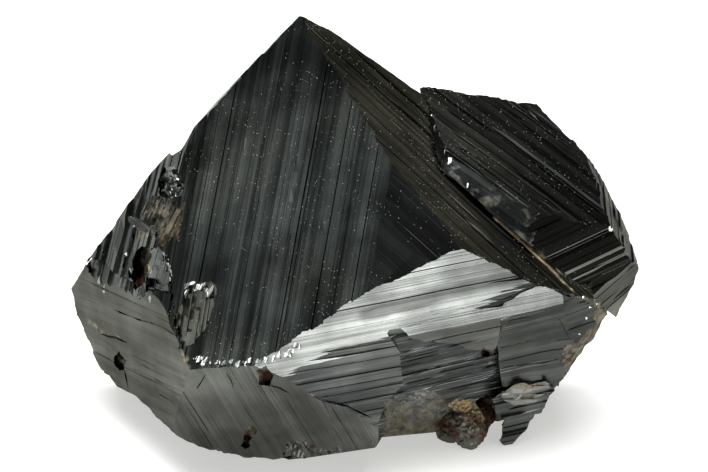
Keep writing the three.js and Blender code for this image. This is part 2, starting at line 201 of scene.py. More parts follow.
MAIN_FACES = {
    "front_striated": Face((0.39, -1, 1), 9.26, "bluish", (-0.1, 0.96, 1), Ledges(0.6, 0.14, 3),
                           strips=Strips(0.17, 4, 0.012, 14, 0.9, swell=0)),
    "front_smooth": Face((0.67, -0.99, 1), 9.71, "black", (1, 0, -1), Ledges(2.4, 0.05, 5),
                         strips=Strips(0.4, 0.8, 0.006, 6, 1.0)),
    "upper_right": Face((1, 0, 1), 10.49, "brownish", (1, 0.1, -1), Ledges(0.6, 0.12, 7),
                        strips=Strips(0.15, 3.5, 0.025, 7, 0.7)),
    "bright": Face((1, -1, 0), 9.76, "bright", (1, 1, -0.04), Ledges(0.5, 0.12, 9),
                   strips=Strips(0.1, 1.8, 0.004, 12, 0.7, tread=-11)),
    "lower_block": Face((1, -0.95, -0.3), 9.37, "slate", (1, 1, -0.1), Ledges(0.5, 0.24, 11),
                        strips=Strips(0.12, 2.8, 0.015, 5, 0.5)),
    "lower_front": Face((0.34, -1, -0.77), 9.47, "satin", (0.08, -0.74, 1), Ledges(0.9, 0.06, 13),
                        strips=Strips(0.12, 4, 0.014, 6, 0.7)),
    "lower_left": Face((-0.81, -1, 0), 11.92, "dull", (-1, 0.81, -0.15), Ledges(1.1, 0.06, 15),
                       strips=Strips(0.25, 1.3, 0.007, 4, 0.7)),
    "left": Face((-1, -1, 1), 11.89, "prism", (-0.1, 0.96, 1), Ledges(0.8, 0.4, 17),
                 strips=Strips(0.4, 8, 0.04, 5, 0.8)),
    "left_strip": Face((-0.5, -1, 0.91), 11.94, "bluish", (-0.1, 0.96, 1),
                       strips=Strips(0.2, 3, 0.02, 5, 0.8)),
    "upper_left": Face((-0.89, -0.16, 1), 12.54, "satin", (1, 0, 1.04), Ledges(1.1, 0.16, 19),
                       strips=Strips(0.35, 3, 0.03, 5, 1.0)),
    "upper_left_low": Face((-1, -0.12, 0.87), 12.63, "satin", (1, 0, 1.12), Ledges(1.2, 0.16, 21),
                           strips=Strips(0.35, 3, 0.03, 4, 1.0)),
    "left_end": Face((-1, -0.26, -0.01), 16.56, rough=Rough(1.2, 0.4)),
    "left_foot": Face((-1, -0.63, -0.62), 14.05, rough=Rough(1.4, 0.3)),
    "foot": Face((-0.66, -0.76, -1), 11.4, rough=Rough(1.4, 0.3)),
    "front_foot": Face((-0.45, -0.71, -1), 11.17, rough=Rough(1.2, 0.25)),
    "underside": Face((0, -0.4, -1), 9.25, rough=Rough(1.4, 0.4)),
    "ridge_back": Face((0.53, 1, 0.94), 11.64, "brownish", (1, 0, -0.56), Ledges(0.9, 0.14, 33),
                       strips=Strips(0.3, 3, 0.03, 5, 1.0)),
    "back_top": Face((0, 1, 1), 12.7, "black", (0, 1, -1), Ledges(0.8, 0.16, 35),
                     strips=Strips(0.3, 3, 0.03, 5, 1.0)),
    "back_left": Face((-1, 1, 1), 11.9, "bluish", (1, 1, 0), Ledges(0.9, 0.14, 37),
                      strips=Strips(0.3, 3, 0.03, 6, 1.0)),
    "back_left_side": Face((-1, 1, 0), 12.6, "satin", (1, 1, 0), Ledges(1.1, 0.2, 39),
                           strips=Strips(0.4, 3, 0.03, 6, 1.0)),
    "back": Face((-0.5, 1, 0), 9.6, "weathered", rough=Rough(1.8, 0.7, 0.2)),
    "back_foot": Face((-0.5, 1, -1), 10, "weathered", rough=Rough(1.8, 0.7, 0.3)),
    "right_end": Face((1, 0.49, -0.26), 15.2, rough=Rough(1.2, 0.3)),
    "right_rim": Face((1, -0.2, -0.76), 11.39, "crust", rough=Rough(0.7, 0.25)),
    "right_foot": Face((0.92, 0.37, -1), 13.6, rough=Rough(1.1, 0.3)),
    "right_low": Face((1, 0.37, -0.76), 13.98, rough=Rough(1.1, 0.3)),
}

SECOND_FACES = {
    "top": Face((1, 0, 1), 11, "banded", (-1, 0.07, 1), Ledges(0.5, 0.14, 53),
                strips=Strips(0.24, 6, 0.03, 12, 0.7, leaning=(0.3, 7))),
    "ridged": Face((1, -0.57, 0.21), 10.55, "brownish", (0.59, 1, -0.06), Ledges(0.55, 0.3, 55),
                   strips=Strips(0.14, 4, 0.02, 14, 0.7, tread=-7, leaning=(0.26, 20))),
    "grey_facet": Face((0.93, -1, 0.81), 7.72, "filmed", (1, 0, -1), strips=Strips(0.2, 6, 0.02, 3, 0.5)),
    "pale_facet": Face((-0.3, -0.74, 1), 2.67, "pale", (1, 0, -1), strips=Strips(0.3, 4, 0.03, 2, 0.4)),
    "right_side": Face((1, 0.39, 0.3), 15.65, "satin", (-0.41, 1, 0.05), Ledges(0.8, 0.12, 57),
                       strips=Strips(0.25, 3, 0.03, 4, 0.6)),
    "right_low": Face((1, -0.39, -0.54), 12.35, "satin", (1, 1, 0), strips=Strips(0.4, 2, 0.02, 3, 0.6)),
    "right_end": Face((1, 0.62, -0.14), 17.1, rough=Rough(1.2, 0.25)),
    "right_corner": Face((1, 0.39, -0.68), 15.86, rough=Rough(1.2, 0.25)),
    "right_foot": Face((0.69, 0.29, -1), 13.28, rough=Rough(1.2, 0.3)),
    "back_top": Face((-0.04, 0.74, 1), 11.22, "satin", (1, 0, 0), Ledges(0.9, 0.12, 65),
                     strips=Strips(0.35, 3, 0.03, 5, 1.0)),
    "back_right": Face((0.86, 1, 0.44), 16.1, "satin", (1, -1, 0.34), Ledges(0.8, 0.14, 67),
                       strips=Strips(0.35, 3, 0.03, 5, 1.0)),
    "right_top": Face((1, 0.8, 0.22), 16.7, rough=Rough(1.2, 0.2)),
    "back": Face((-0.3, 1, -0.1), 9.6, "weathered", rough=Rough(1.8, 0.6, 0.2)),
    "underside": Face((-0.2, 0.2, -1), 4.2, "weathered", rough=Rough(1.8, 0.6, 0.3)),
}

# The two sides of the seam between the crystals: the way that each faces in the main lattice, its
# distance, and how far the second crystal reaches past it.
SEAM = [
    ((0.88, 0.79, 1), 9.6, 0.1),
    ((1, 0.58, 0.08), 7.51, 0.6),
]
SEAM_REACH = 20

# Places cut out of the main crystal, most of them down to a floor.
CUTS = {
    "lower_right_side": Place(
        [(1.9, -5.6), (2.6, -3.7), (16.3, -0.2), (18.6, -13.9), (1.4, -14.1), (1.4, -10.6), (1.9, -9.4),
         (2.8, -8.5), (2.6, -6.6)],
        Face((1, -1, -1), 7.46, "pale", (1, 1, 0), Ledges(0.8, 0.12, 81),
             strips=Strips(0.13, 4, 0.02, 2.5, 0.4)),
        ragged=False,
    ),
    "chipped_patch": Place(
        [(-9.8, -3.7), (-9.4, -2.8), (-8.1, -2.6), (-7.9, -3.4), (-8.3, -4.8), (-9.3, -6.2), (-10.1, -6.5),
         (-10.3, -5.1)],
        Face((0.2, -1, 0.9), 9.75, "streaky", (-0.1, 0.96, 1), strips=Strips(0.16, 9, 0.05, 1.2, 0.25)),
    ),
    "notch": Place(
        [(-10.4, 4.6), (-9.9, 4.9), (-9.7, 5.2), (-9.1, 6.3), (-9.7, 6.9), (-11, 5.2)],
        far=6.0, ragged=False,
    ),
    "glinting_chip": Place(
        [(-11.2, 3), (-10.9, 3.9), (-10.3, 4), (-9.8, 3.2), (-9.8, 2.3), (-10.5, 2.1), (-11.1, 2.3)],
        Face((-1, -1, 1), 11.5, "prism", rough=Rough(0.5, 0.5, 0.08)),
    ),
    "rusty_dip": Place(
        [(-12.2, 1.8), (-11.5, 2.3), (-10.5, 2.2), (-9.8, 1.5), (-9.9, 0.1), (-11.1, -0.6), (-11.5, 0.2),
         (-12.1, 0.8)],
        Face((-0.8, -1, 1), 11.35, "gritty", (0.5, 0.6, 1), strips=Strips(0.12, 22, 0.08, 0.5, 0.13)),
    ),
    "rusty_cavity": Place(
        [(-12.7, -1.5), (-12.2, -0.6), (-11.8, -0.6), (-11.7, -1.5), (-11.9, -2.6), (-12.5, -3.2),
         (-12.7, -2.5)],
        Face((-1, -1, 0.6), 11.2, "crust", rough=Rough(0.5, 0.3, 0.08)),
    ),
    "grey_side_facet": Place(
        [(-11.8, -0.8), (-11.2, -0.6), (-10.7, -1.5), (-10.6, -2.7), (-11.5, -3.1), (-11.9, -2.3)],
        Face((-0.55, -1, 0.6), 12.1, "prism", strips=Strips(0.3, 1.5, 0.01, 1, 0.3)),
    ),
    "prism_foot": Place(
        [(-15.3, -1.5), (-14.9, -2.3), (-14.4, -3.2), (-13.8, -3.3), (-11.8, -3.3), (-12.3, -2.5),
         (-13.9, -1.9), (-14.9, -1.2)],
        Face((-1, -1, 1), 11.5, "prism", (-0.1, 0.96, 1), Ledges(0.8, 0.2, 18),
             strips=Strips(0.4, 8, 0.04, 5, 0.8)),
    ),
    "top_pit": Place(
        [(-5.6, -7.7), (-5, -7.4), (-4.6, -8), (-4.8, -8.6), (-5.4, -8.5)],
        Face((0.34, -1, -0.77), 8.95, "crust", rough=Rough(0.4, 0.3, 0.07)),
    ),
    "lower_crack": Place(
        [(-6.5, -12), (-6.3, -11.3), (-5.8, -10.8), (-5.5, -11.1), (-5.8, -11.5), (-6.2, -12.2)],
        Face((0.34, -1, -0.77), 9, "crust", rough=Rough(0.4, 0.3, 0.07)),
    ),
    "ragged_foot": Place(
        [(-3.8, -11.8), (-2.7, -11.7), (-2.1, -12.1), (-0.6, -12.1), (-0.1, -12.5), (-1.4, -13.4),
         (-4.2, -13.4)],
        Face((0.3, -0.9, -0.9), 9.2, "broken", rough=Rough(0.5, 0.5, 0.09)),
    ),
    "hollow_under": Place(
        [(1.3, -12), (1.6, -11.5), (4.8, -11.2), (5, -10.9), (5.8, -10.9), (6.1, -12.3), (6.2, -14.5),
         (1.3, -14.5)],
        ragged=False,
    ),
    "lower_edge_chip": Place(
        [(-2.8, -14.5), (-2.8, -12.7), (1.2, -12.1), (1.4, -11.9), (1.5, -14.5)],
        ragged=False,
    ),
    "granular_corner": Place(
        [(1.4, -11.7), (1.7, -9.5), (2.6, -9.1), (4.5, -8.9), (5.3, -9.4), (5.8, -10.1), (5.8, -11.7)],
        Face((1, -1, -1), 7.15, "granular", rough=Rough(0.25, 0.1, 0.06)),
    ),
    "nodule_hollow": Place(
        [(6.9, -9.5), (7.5, -9.1), (8.3, -9.1), (8.6, -10.3), (8.5, -11.8), (7.8, -12.2), (7, -11.8)],
        Face((1, -1, -1), 5.8, "crust", rough=Rough(0.6, 0.3, 0.1)),
    ),
    "left_pit": Place(
        [(-13.7, -6.9), (-13.4, -6.6), (-13, -7.1), (-13.2, -7.7), (-13.6, -7.5)],
        Face((-0.81, -1, 0), 11.4, "crust", rough=Rough(0.4, 0.3, 0.07)),
    ),
}

# Blocks that stand out, each up to its front.
BLOCKS = {
    "grey_wedge": Place(
        [(1.9, -5), (5.2, -4.5), (8.7, -3.9), (8.3, -5.7), (7.9, -6.6), (6.6, -6.5), (4.9, -6.1),
         (3.2, -5.8)],
        Face((1, -1.06, -0.9), 8.05, "satin", (1, 1, 0), strips=Strips(0.5, 1.0, 0.01, 3, 0.8)),
    ),
    "rounded_block": Place(
        [(8.2, -6.3), (8.4, -5), (8.6, -3.8), (11.9, -2.9), (12.2, -5), (12.6, -6.2), (11.9, -6.7),
         (12.1, -7.7), (11.7, -8.6), (10.6, -8.4), (9.3, -8.5), (8.5, -8.6), (8.3, -7.5)],
        Face((1, -1, -0.93), 8, "smooth", (1, 1, 0), strips=Strips(0.4, 1.7, 0.012, 4, 0.5, swell=0.1)),
    ),
    "right_facet": Place(
        [(11.8, -4.6), (12, -2.9), (13.7, -2.6), (13.9, -5), (12.7, -6.3), (12.3, -5.6)],
        Face((1, -0.7, -0.7), 9.6, "smooth", (1, 1, 0), strips=Strips(0.4, 1.7, 0.012, 4, 0.5, swell=0.1)),
    ),
    "ledge_bar": Place(
        [(-12.9, 1.15), (-12.5, 1.05), (-11.3, 0.3), (-11.4, -0.1), (-12.2, 0.3), (-12.8, 0.75)],
        Face((-0.75, -1, 1), 11.8, "prism", (1, -0.4, -0.3), strips=Strips(0.15, 6, 0.02, 2, 0.4)),
    ),
    "corner_block": Place(
        [(7.9, -9.3), (9.2, -8.5), (10.9, -8.3), (11.5, -8.8), (10.9, -9.8), (9.9, -11), (8.7, -12.1),
         (8.3, -11.7), (8.6, -10.5), (8.1, -10.1)],
        Face((1, -1, -0.6), 7.85, "pale", (1, 1, 0), Ledges(0.6, 0.25, 75),
             strips=Strips(0.2, 6, 0.05, 1.5, 0.4)),
    ),
}
BLOCK_BOUNDS = ("bright", "upper_right", "right_end")  # main faces that no block reaches past

# Smaller places cut in after the blocks.
LATE_CUTS = {
    "small_steps": Place(
        [(-11.9, -2.75), (-10.7, -2.55), (-10.6, -3.3), (-11.9, -3.2)],
        Face((-0.8, -1, 0.4), 12.05, "prism", (1, -0.8, 0.2), strips=Strips(0.13, 22, 0.03, 4, 0.4)),
    ),
    "corner_top": Place(
        [(8.5, -8.6), (10.7, -8.2), (11.4, -8.8), (10.8, -9.5), (9.3, -9.8), (8.4, -9.3)],
        Face((0.9, -1, -0.4), 6.95, "granular", (1, 1, -0.3), strips=Strips(0.2, 16, 0.06, 0.8, 0.2)),
    ),
    "rim_hollow": Place(
        [(11.9, -6.6), (12.2, -6.2), (12.9, -6.1), (13.5, -6.2), (13.4, -6.9), (12.9, -7.4), (12.2, -7.6),
         (11.8, -7.2)],
        Face((1, -0.5, -0.8), 10.1, "crust", rough=Rough(0.6, 0.3, 0.08)),
    ),
    "rusty_hole": Place(
        [(7.2, -6.6), (7.4, -6.4), (7.7, -6.6), (7.7, -6.9), (7.3, -6.9)],
        Face((1, -1, -1), 6.9, "crust", rough=Rough(0.4, 0.3, 0.08)),
    ),
    "bright_chip": Place(
        [(9.6, -2), (11, -1.9), (11.9, -2.4), (11.2, -2.8), (9.9, -2.6)],
        Face((1, -1, 0.05), 9.7, "pale", rough=Rough(0.5, 0.16, 0.09)),
    ),
}

# Thin cracks: the line of each, its width, how deep it goes.
CRACKS = {
    "left_long": ([(-13.7, -4.2), (-12.5, -4.7), (-10.8, -5.3), (-9.9, -5.9)], 0.05, 0.1),
    "left_short": ([(-14.5, -5.6), (-13.6, -5.8), (-13, -6.1)], 0.16, 0.2),
    "left_pit_tail": ([(-13.2, -7.4), (-13, -8.2), (-12.9, -8.7)], 0.08, 0.2),
    "left_line_1": ([(-13.1, -7), (-12, -7.4), (-10.4, -8.2)], 0.04, 0.06),
    "left_line_2": ([(-12.7, -7.6), (-11.3, -8.2), (-9.6, -9)], 0.05, 0.08),
    "left_line_3": ([(-12.3, -8.6), (-11, -9.1), (-9.6, -9.8)], 0.05, 0.08),
    "front_1": ([(-7.3, -7.8), (-7, -8.3), (-6.9, -8.7)], 0.09, 0.15),
    "front_2": ([(-6.9, -8.4), (-6.5, -8.7)], 0.07, 0.1),
    "front_3": ([(-4.9, -8.5), (-4.2, -8.7), (-3.7, -9)], 0.12, 0.15),
    "front_left_border": ([(-8.5, -7.9), (-8.9, -8.6), (-9.9, -9.8)], 0.08, 0.12),
    "block_border": ([(-4.5, -7.8), (-3.2, -8.6), (-2, -9.3), (-0.4, -9.7), (1, -10.4)], 0.12, 0.2),
    "rounded_crack": ([(11.7, -4.7), (12, -5.3), (12.4, -6)], 0.07, 0.12),
    "rounded_edge": ([(8.2, -6.2), (8.4, -5.3), (9, -4.8), (10, -4.6), (11.5, -4.7)], 0.05, 0.1),
    "rounded_line": ([(8.3, -6.4), (10, -6), (11.7, -5.7)], 0.04, 0.06),
    "rounded_low_line": ([(8.4, -7.6), (10, -7.3), (11.8, -7)], 0.05, 0.08),
    "pale_scratch": ([(9.66, 7.5), (10.35, 6.8), (11.1, 5.9)], 0.06, 0.03),
}
CRACK_END = 0.3  # the width of a crack's ends, as a share of its own

# Small chips whose floors face a lamp: right, up, width, height.
FRONT_GLINTS = [
    (-9.4, -2.75, 0.7, 0.3), (-8.9, -2.95, 0.5, 0.4), (-8.25, -3.2, 0.45, 0.8), (-8.6, -2.8, 0.5, 0.3),
    (-9.6, -3.3, 0.14, 0.8), (14.7, 0.4, 0.25, 0.3), (-10, 3.1, 0.3, 0.6), (-10.3, 3.6, 0.5, 0.3),
    (-10.6, 2.8, 0.25, 0.4), (4.45, 6.9, 0.1, 0.5), (4.6, 6.2, 0.12, 0.5), (5.2, 4.8, 0.12, 0.4),
    (5.45, 4.3, 0.14, 0.5), (6.5, 2.9, 0.1, 0.3), (13.1, -3.5, 0.12, 0.14), (13.5, -4.1, 0.14, 0.12),
    (13.3, -4.7, 0.1, 0.12), (13.9, -3.9, 0.12, 0.12), (12.9, -5.6, 0.12, 0.1),
]
LEFT_GLINTS = [
    (-15.1, -1.9, 0.14, 0.4), (-14.6, -2.5, 0.16, 0.5), (-14.3, -3, 0.16, 0.5), (-10.9, -1.2, 0.12, 0.5),
    (-10.7, -1.8, 0.12, 0.5), (-10.5, -2.5, 0.14, 0.5), (-10.45, -3.4, 0.14, 0.6), (-10.2, -4.6, 0.14, 0.8),
    (-10, -5.4, 0.14, 0.5), (-9.8, -6.2, 0.16, 0.5), (-11.7, -3.6, 0.14, 0.4), (-12.8, -2, 0.14, 0.8),
    (-13.2, -1.2, 0.12, 1.2), (-12.6, 0.2, 0.12, 0.8),
]
# The ways that the chips' floors face, in the main lattice, and what they are like.
FLASH_FRONT = (0.9, -1.0, 0.22)
FLASH_LEFT = (-0.35, -1.0, 0.25)
CHIP_STRIPS = Strips(0.1, 3, 0.01, 1, 0.2)
CHIP_DEPTH = 0.08

# Rows of such chips: the line that a row follows, how many, their greatest width and height.
GLINT_ROWS = [
    ([(-9.1, -6.9), (-8.5, -7.15), (-7.5, -7.3), (-6.6, -7.3), (-5.4, -7.15), (-4.5, -7), (-3.6, -6.6),
      (-3, -6.1)], 28, 0.3, 0.45, FLASH_FRONT),
    ([(-10.75, -1), (-10.45, -2.2), (-10.4, -3.4), (-10.25, -4.7), (-9.8, -6)], 16, 0.12, 0.4, FLASH_LEFT),
]
ROW_WANDER = 0.25  # the height of the band along its line that a row fills
LEAST_CHIP = 0.35  # the smallest chip of a row, as a share of the largest

# Stains: the lines that each follows, how wide it spreads, how strong it is. Rust is red-brown, ochre
# is the colour of dry earth, etched is a dulled band.
STAINS = {
    "rust": [
        ([(-12.2, -1), (-12.2, -2.8)], 0.5, 1),
        ([(-5, -8)], 0.45, 0.9),
        ([(-6.2, -11.6)], 0.5, 0.9),
        ([(5, -10.9), (5.6, -11.2)], 0.6, 1),
        ([(6.2, -10.2), (6.9, -11)], 0.9, 0.55),
        ([(7.2, -9.4), (7.7, -10.4), (7.5, -11.5)], 0.8, 1),
        ([(7.5, -6.5), (7.7, -6.7)], 0.35, 1),
        ([(12.4, -6.9)], 0.5, 0.9),
        ([(4.2, 7.8), (4.6, 6.7)], 0.2, 0.45),
        ([(-9.7, 2.2), (-9.9, 0.5), (-10.2, -0.5)], 0.14, 0.7),
        ([(8.6, -8.4), (8.4, -9.4)], 0.3, 0.8),
        ([(-3.5, -12.1), (-1.6, -12.1)], 0.4, 0.5),
    ],
    "ochre": [
        ([(8.2, 0.9), (10.6, -1.3), (12.6, -3.2), (13.8, -4.8)], 0.13, 1),
        ([(8.9, 0.4), (10.7, -1), (12.4, -2.6)], 0.3, 0.5),
        ([(-12, 1.4), (-11, 1.6), (-10.3, 0.6)], 0.4, 0.55),
        ([(-11.2, 0.7), (-10.9, -0.4)], 0.3, 0.6),
        ([(-11.8, -0.8), (-11.7, -1.8), (-12.1, -2.8)], 0.3, 0.9),
        ([(-12.5, 0.8), (-12.2, 0.2), (-11.8, 0)], 0.25, 0.6),
        ([(-15.3, -4.8), (-14.4, -5.5)], 0.3, 0.6),
        ([(-9.8, -6.7), (-9.4, -7.6)], 0.3, 0.6),
        ([(-14.5, -5.5), (-13.2, -5.9)], 0.2, 0.5),
        ([(5.9, -9.6), (6.6, -9.8), (7, -10.2)], 0.7, 0.9),
        ([(7.8, -7.2)], 0.25, 0.9),
        ([(9, -8.7), (10.2, -8.5)], 0.5, 0.55),
        ([(2.4, -9.7), (4.2, -9.6), (3, -10.8)], 0.9, 0.35),
        ([(-9.3, -4.2), (-8.8, -5.6)], 0.5, 0.3),
        ([(-6.5, -11.4), (-6, -11)], 0.25, 0.6),
        ([(13.3, -3.6), (13.8, -5.2), (12.7, -6.9)], 0.5, 0.25),
        ([(2.2, -4.3), (6, -4.1), (8.6, -4)], 0.12, 0.4),
        ([(13, 2.5)], 0.4, 0.5),
    ],
    "etched": [
        ([(0.8, -4.5), (4.4, -3.5), (8.4, -2.5), (9.6, -2.4)], 0.38, 1),
    ],
}
STAIN_EDGE = 1.5  # where a stain ends, in widths from its line

# Streaks along the striations: how close across and along, how strong.
STREAKS = ((0.9, 0.03, 0.62), (8.0, 0.12, 0.18))
DUST_SHADE = 0.35  # the dark parts of the dust, as a share of its colour
SPECK_SIZES = (0.35, 1.35)  # the smallest and the largest speck, as shares of the speck radius

# Lumps of the nodule: right, up, behind the point looked at, radius.
NODULE_LUMPS = [
    (6.5, -10.8, 0.6, 1.25),
    (5.7, -10.5, 0.7, 0.85),
    (6.6, -11.5, 0.5, 0.75),
    (7.3, -10.2, 1.6, 0.8),
    (5.4, -11.2, 1.5, 0.7),
]
LUMP_SHIFT = 7.0  # how far apart the lumps lie in the noise that shapes them
LUMP_WAVES = 1.3  # how close its waves are
LUMP_SWELL = 0.16  # and how tall
LUMP_CRUMBS = 3  # how much closer its crumbs are
LUMP_CRUMBLE = 0.1  # and how tall


def chance(seed, i, j=0):
    """A number from 0 to 1 that depends only on what it is given, as in the part's own source."""
    wave = math.sin(seed * 12.9898 + i * 78.233 + j * 37.719) * 43758.5453
    return wave - math.floor(wave)


def plane_of(turned, face):
    """A face's outward normal and its distance from the main crystal's centre."""
    return (turned @ Vector(face.facing)).normalized(), face.at


def face_frame(turned, face):
    """Across, normal and along of a face, and its middle."""
    normal, at = plane_of(turned, face)
    run = turned @ Vector(face.along)
    run = (run - normal * run.dot(normal)).normalized()
    return normal.cross(run), normal, run, normal * at


def clipped(corners, side, at):
    """The part of a flat outline that lies behind a plane."""
    kept = []
    for here, there in zip(corners, corners[1:] + corners[:1]):
        gap_here = side.dot(here) - at
        gap_there = side.dot(there) - at
        if gap_here <= 0:
            kept.append(here)
        if gap_here * gap_there < 0:
            kept.append(here.lerp(there, gap_here / (gap_here - gap_there)))
    return kept


def fine_box(points, across, run, middle):
    """How far some points of a face reach across and along, and a margin more."""
    xs = [across.dot(point - middle) for point in points]
    zs = [run.dot(point - middle) for point in points]
    return (
        max(min(xs) - MARGIN, 1 - REACH),
        min(max(xs) + MARGIN, REACH - 1),
        max(min(zs) - MARGIN, 1 - REACH),
        min(max(zs) + MARGIN, REACH - 1),
    )


def face_extent(turned, faces, name):
    """How far a crystal's face reaches, from the planes around it."""
    across, _, run, middle = face_frame(turned, faces[name])
    corners = [middle + across * x * SHEET + run * z * SHEET for x, z in SQUARE]
    for other, face in faces.items():
        if other != name:
            corners = clipped(corners, *plane_of(turned, face))
    return fine_box(corners, across, run, middle)


def view_line(right, up):
    """The way from the eye to a place of the front view."""
    return RIGHT * right + UPWARD * up - TO_EYE * LOOK_DISTANCE


def seen_on(right, up, normal, at):
    """Where the eye's line through a place of the front view meets a plane."""
    line = view_line(right, up)
    return EYE + line * ((at - normal.dot(EYE)) / normal.dot(line))


def seen_deep(right, up, deep):
    """The point at a place of the front view that lies so far behind the point looked at."""
    share = (LOOK_DISTANCE + deep) / LOOK_DISTANCE
    return LOOKED_AT + RIGHT * right * share + UPWARD * up * share - TO_EYE * deep


def touched(body, right, up):
    """Where the eye's line through a place of the front view first meets the crystals."""
    hit, place, normal, _ = body.ray_cast(EYE, view_line(right, up).normalized())
    if not hit:
        raise RuntimeError(f"nothing is seen at {right}, {up}")
    return place, normal


def ledge_strips(ledges):
    """The level strips of a face with growth ledges: start, end and height of each."""
    strips = []
    start = -REACH
    i = 0
    while start < REACH:
        drop = ledges.depth * (0.5 - chance(ledges.seed, i))
        width = ledges.pitch * (LEAST_LEDGE + LEDGE_RANGE * chance(ledges.seed, i, 1))
        end = min(start + width, REACH)
        strips.append((start, end, drop))
        start = end
        i += 1
    return strips


def strip_relief(fine, rows, tread, rng):
    """A strip's slope and its height at each row, the same over each run."""
    slope = np.empty(len(rows))
    offset = np.empty(len(rows))
    j = 0
    while j < len(rows):
        length = max(1, int(rng.exponential(fine.run) / fine.row))
        slope[j : j + length] = math.tan(math.radians(tread + fine.spread * rng.normal()))
        offset[j : j + length] = fine.step * rng.normal()
        j += length
    return slope, offset


def striated_top(face, box, rng):
    """Columns, rows and heights of a face: growth ledges split into fine strips that end and begin."""
    low, high, back, front = box
    fine = face.strips
    leaning_share, leaning = fine.leaning
    coarse = ledge_strips(face.ledges) if face.ledges else [(low, high, 0.0)]
    rows = np.arange(back, front + fine.row, fine.row)
    columns = []
    heights = []
    for start, end, drop in coarse:
        if end <= low or start >= high:
            continue
        start, end = max(start, low), min(end, high)
        count = max(1, round((end - start) / fine.pitch))
        even = np.linspace(0, EVENNESS, count + 1)[1:-1]
        cuts = np.sort(rng.random(count - 1)) * (1 - EVENNESS) + even
        edges = start + (end - start) * np.concatenate([[0], cuts, [1]])
        for a, b in zip(edges, edges[1:]):
            if b - a < THINNEST_STRIP:
                continue
            riser = min(RISER if a == start else RISER * FINE_RISER, (b - a) * WIDEST_RISER)
            tread = leaning if rng.random() < leaning_share else fine.tread
            slope, offset = strip_relief(fine, rows, tread, rng)
            half = (b - a - riser) / 2
            columns += [a + riser, b]
            heights += [drop + offset - slope * half, drop + offset + slope * half]
    columns = np.array(columns)
    heights = np.array(heights) + slow_wave(columns, rows, fine.swell, rng)
    return columns, rows, heights


def slow_wave(columns, rows, tall, rng):
    """A slow wave over a face, so that its reflections wander."""
    x, z = np.meshgrid(columns, rows, indexing="ij")
    wave = np.zeros_like(x)
    for length in WAVE_LENGTHS:
        for _ in range(WAVES_OF_EACH):
            turn = rng.uniform(0, math.pi)
            way = x * math.cos(turn) + z * math.sin(turn)
            start = rng.uniform(0, 2 * math.pi)
            wave += np.sin(way * 2 * math.pi / length + start) * length / WAVE_LENGTHS[0]
    return wave * tall / 2


def rough_top(face, box, rng):
    """Columns, rows and heights of a broken face: a patchwork of small tilted facets."""
    rough = face.rough
    low, high, back, front = box
    columns = np.linspace(low, high, max(LEAST_POINTS, int((high - low) / rough.grain)))
    rows = np.linspace(back, front, max(LEAST_POINTS, int((front - back) / rough.grain)))
    x, z = np.meshgrid(columns, rows, indexing="ij")
    height = np.zeros_like(x)
    for size in (1.0, SMALL_FACETS):
        height += facets(x, z, rough.cell * size, rough.height * size, rng)
    return columns, rows, height - height.mean()


def facets(x, z, cell, tall, rng):
    """The lowest of the tilted planes through the points scattered around each place."""
    left, near = x.min() - cell, z.min() - cell
    across = int((x.max() - left) / cell) + 3
    along = int((z.max() - near) / cell) + 3
    shift = rng.random((across, along, 2))
    tilt = rng.normal(0, FACET_TILT * tall / cell, (across, along, 2))
    offset = rng.uniform(-0.5, 0.5, (across, along)) * tall
    ci = ((x - left) / cell).astype(int)
    cj = ((z - near) / cell).astype(int)
    best = np.full(x.shape, np.inf)
    for di in (-1, 0, 1):
        for dj in (-1, 0, 1):
            i = np.clip(ci + di, 0, across - 1)
            j = np.clip(cj + dj, 0, along - 1)
            dx = x - (left + (i + shift[i, j, 0]) * cell)
            dz = z - (near + (j + shift[i, j, 1]) * cell)
            hollow = FACET_HOLLOW * tall * (dx * dx + dz * dz) / (cell * cell)
            best = np.minimum(best, offset[i, j] + tilt[i, j, 0] * dx + tilt[i, j, 1] * dz + hollow)
    return best


def mesh_object(name, points, polygons, finish, flat=None):
    """A mesh object with the finish written on its faces and, on its map, each point's place on a face."""
    mesh = bpy.data.meshes.new(name)
    mesh.from_pydata(points, [], polygons)
    for key, value in zip(FINISH_KEYS, FINISHES[finish]):
        layer = mesh.attributes.new(key, "FLOAT", "FACE")
        layer.data.foreach_set("value", np.full(len(mesh.polygons), value, np.float32))
    layer = mesh.uv_layers.new(name="UVMap")
    if flat is not None:
        corners = np.empty(len(mesh.loops), np.int32)
        mesh.loops.foreach_get("vertex_index", corners)
        layer.data.foreach_set("uv", np.asarray(flat, np.float32)[corners].ravel())
    made = bpy.data.objects.new(name, mesh)
    bpy.context.scene.collection.objects.link(made)
    return made


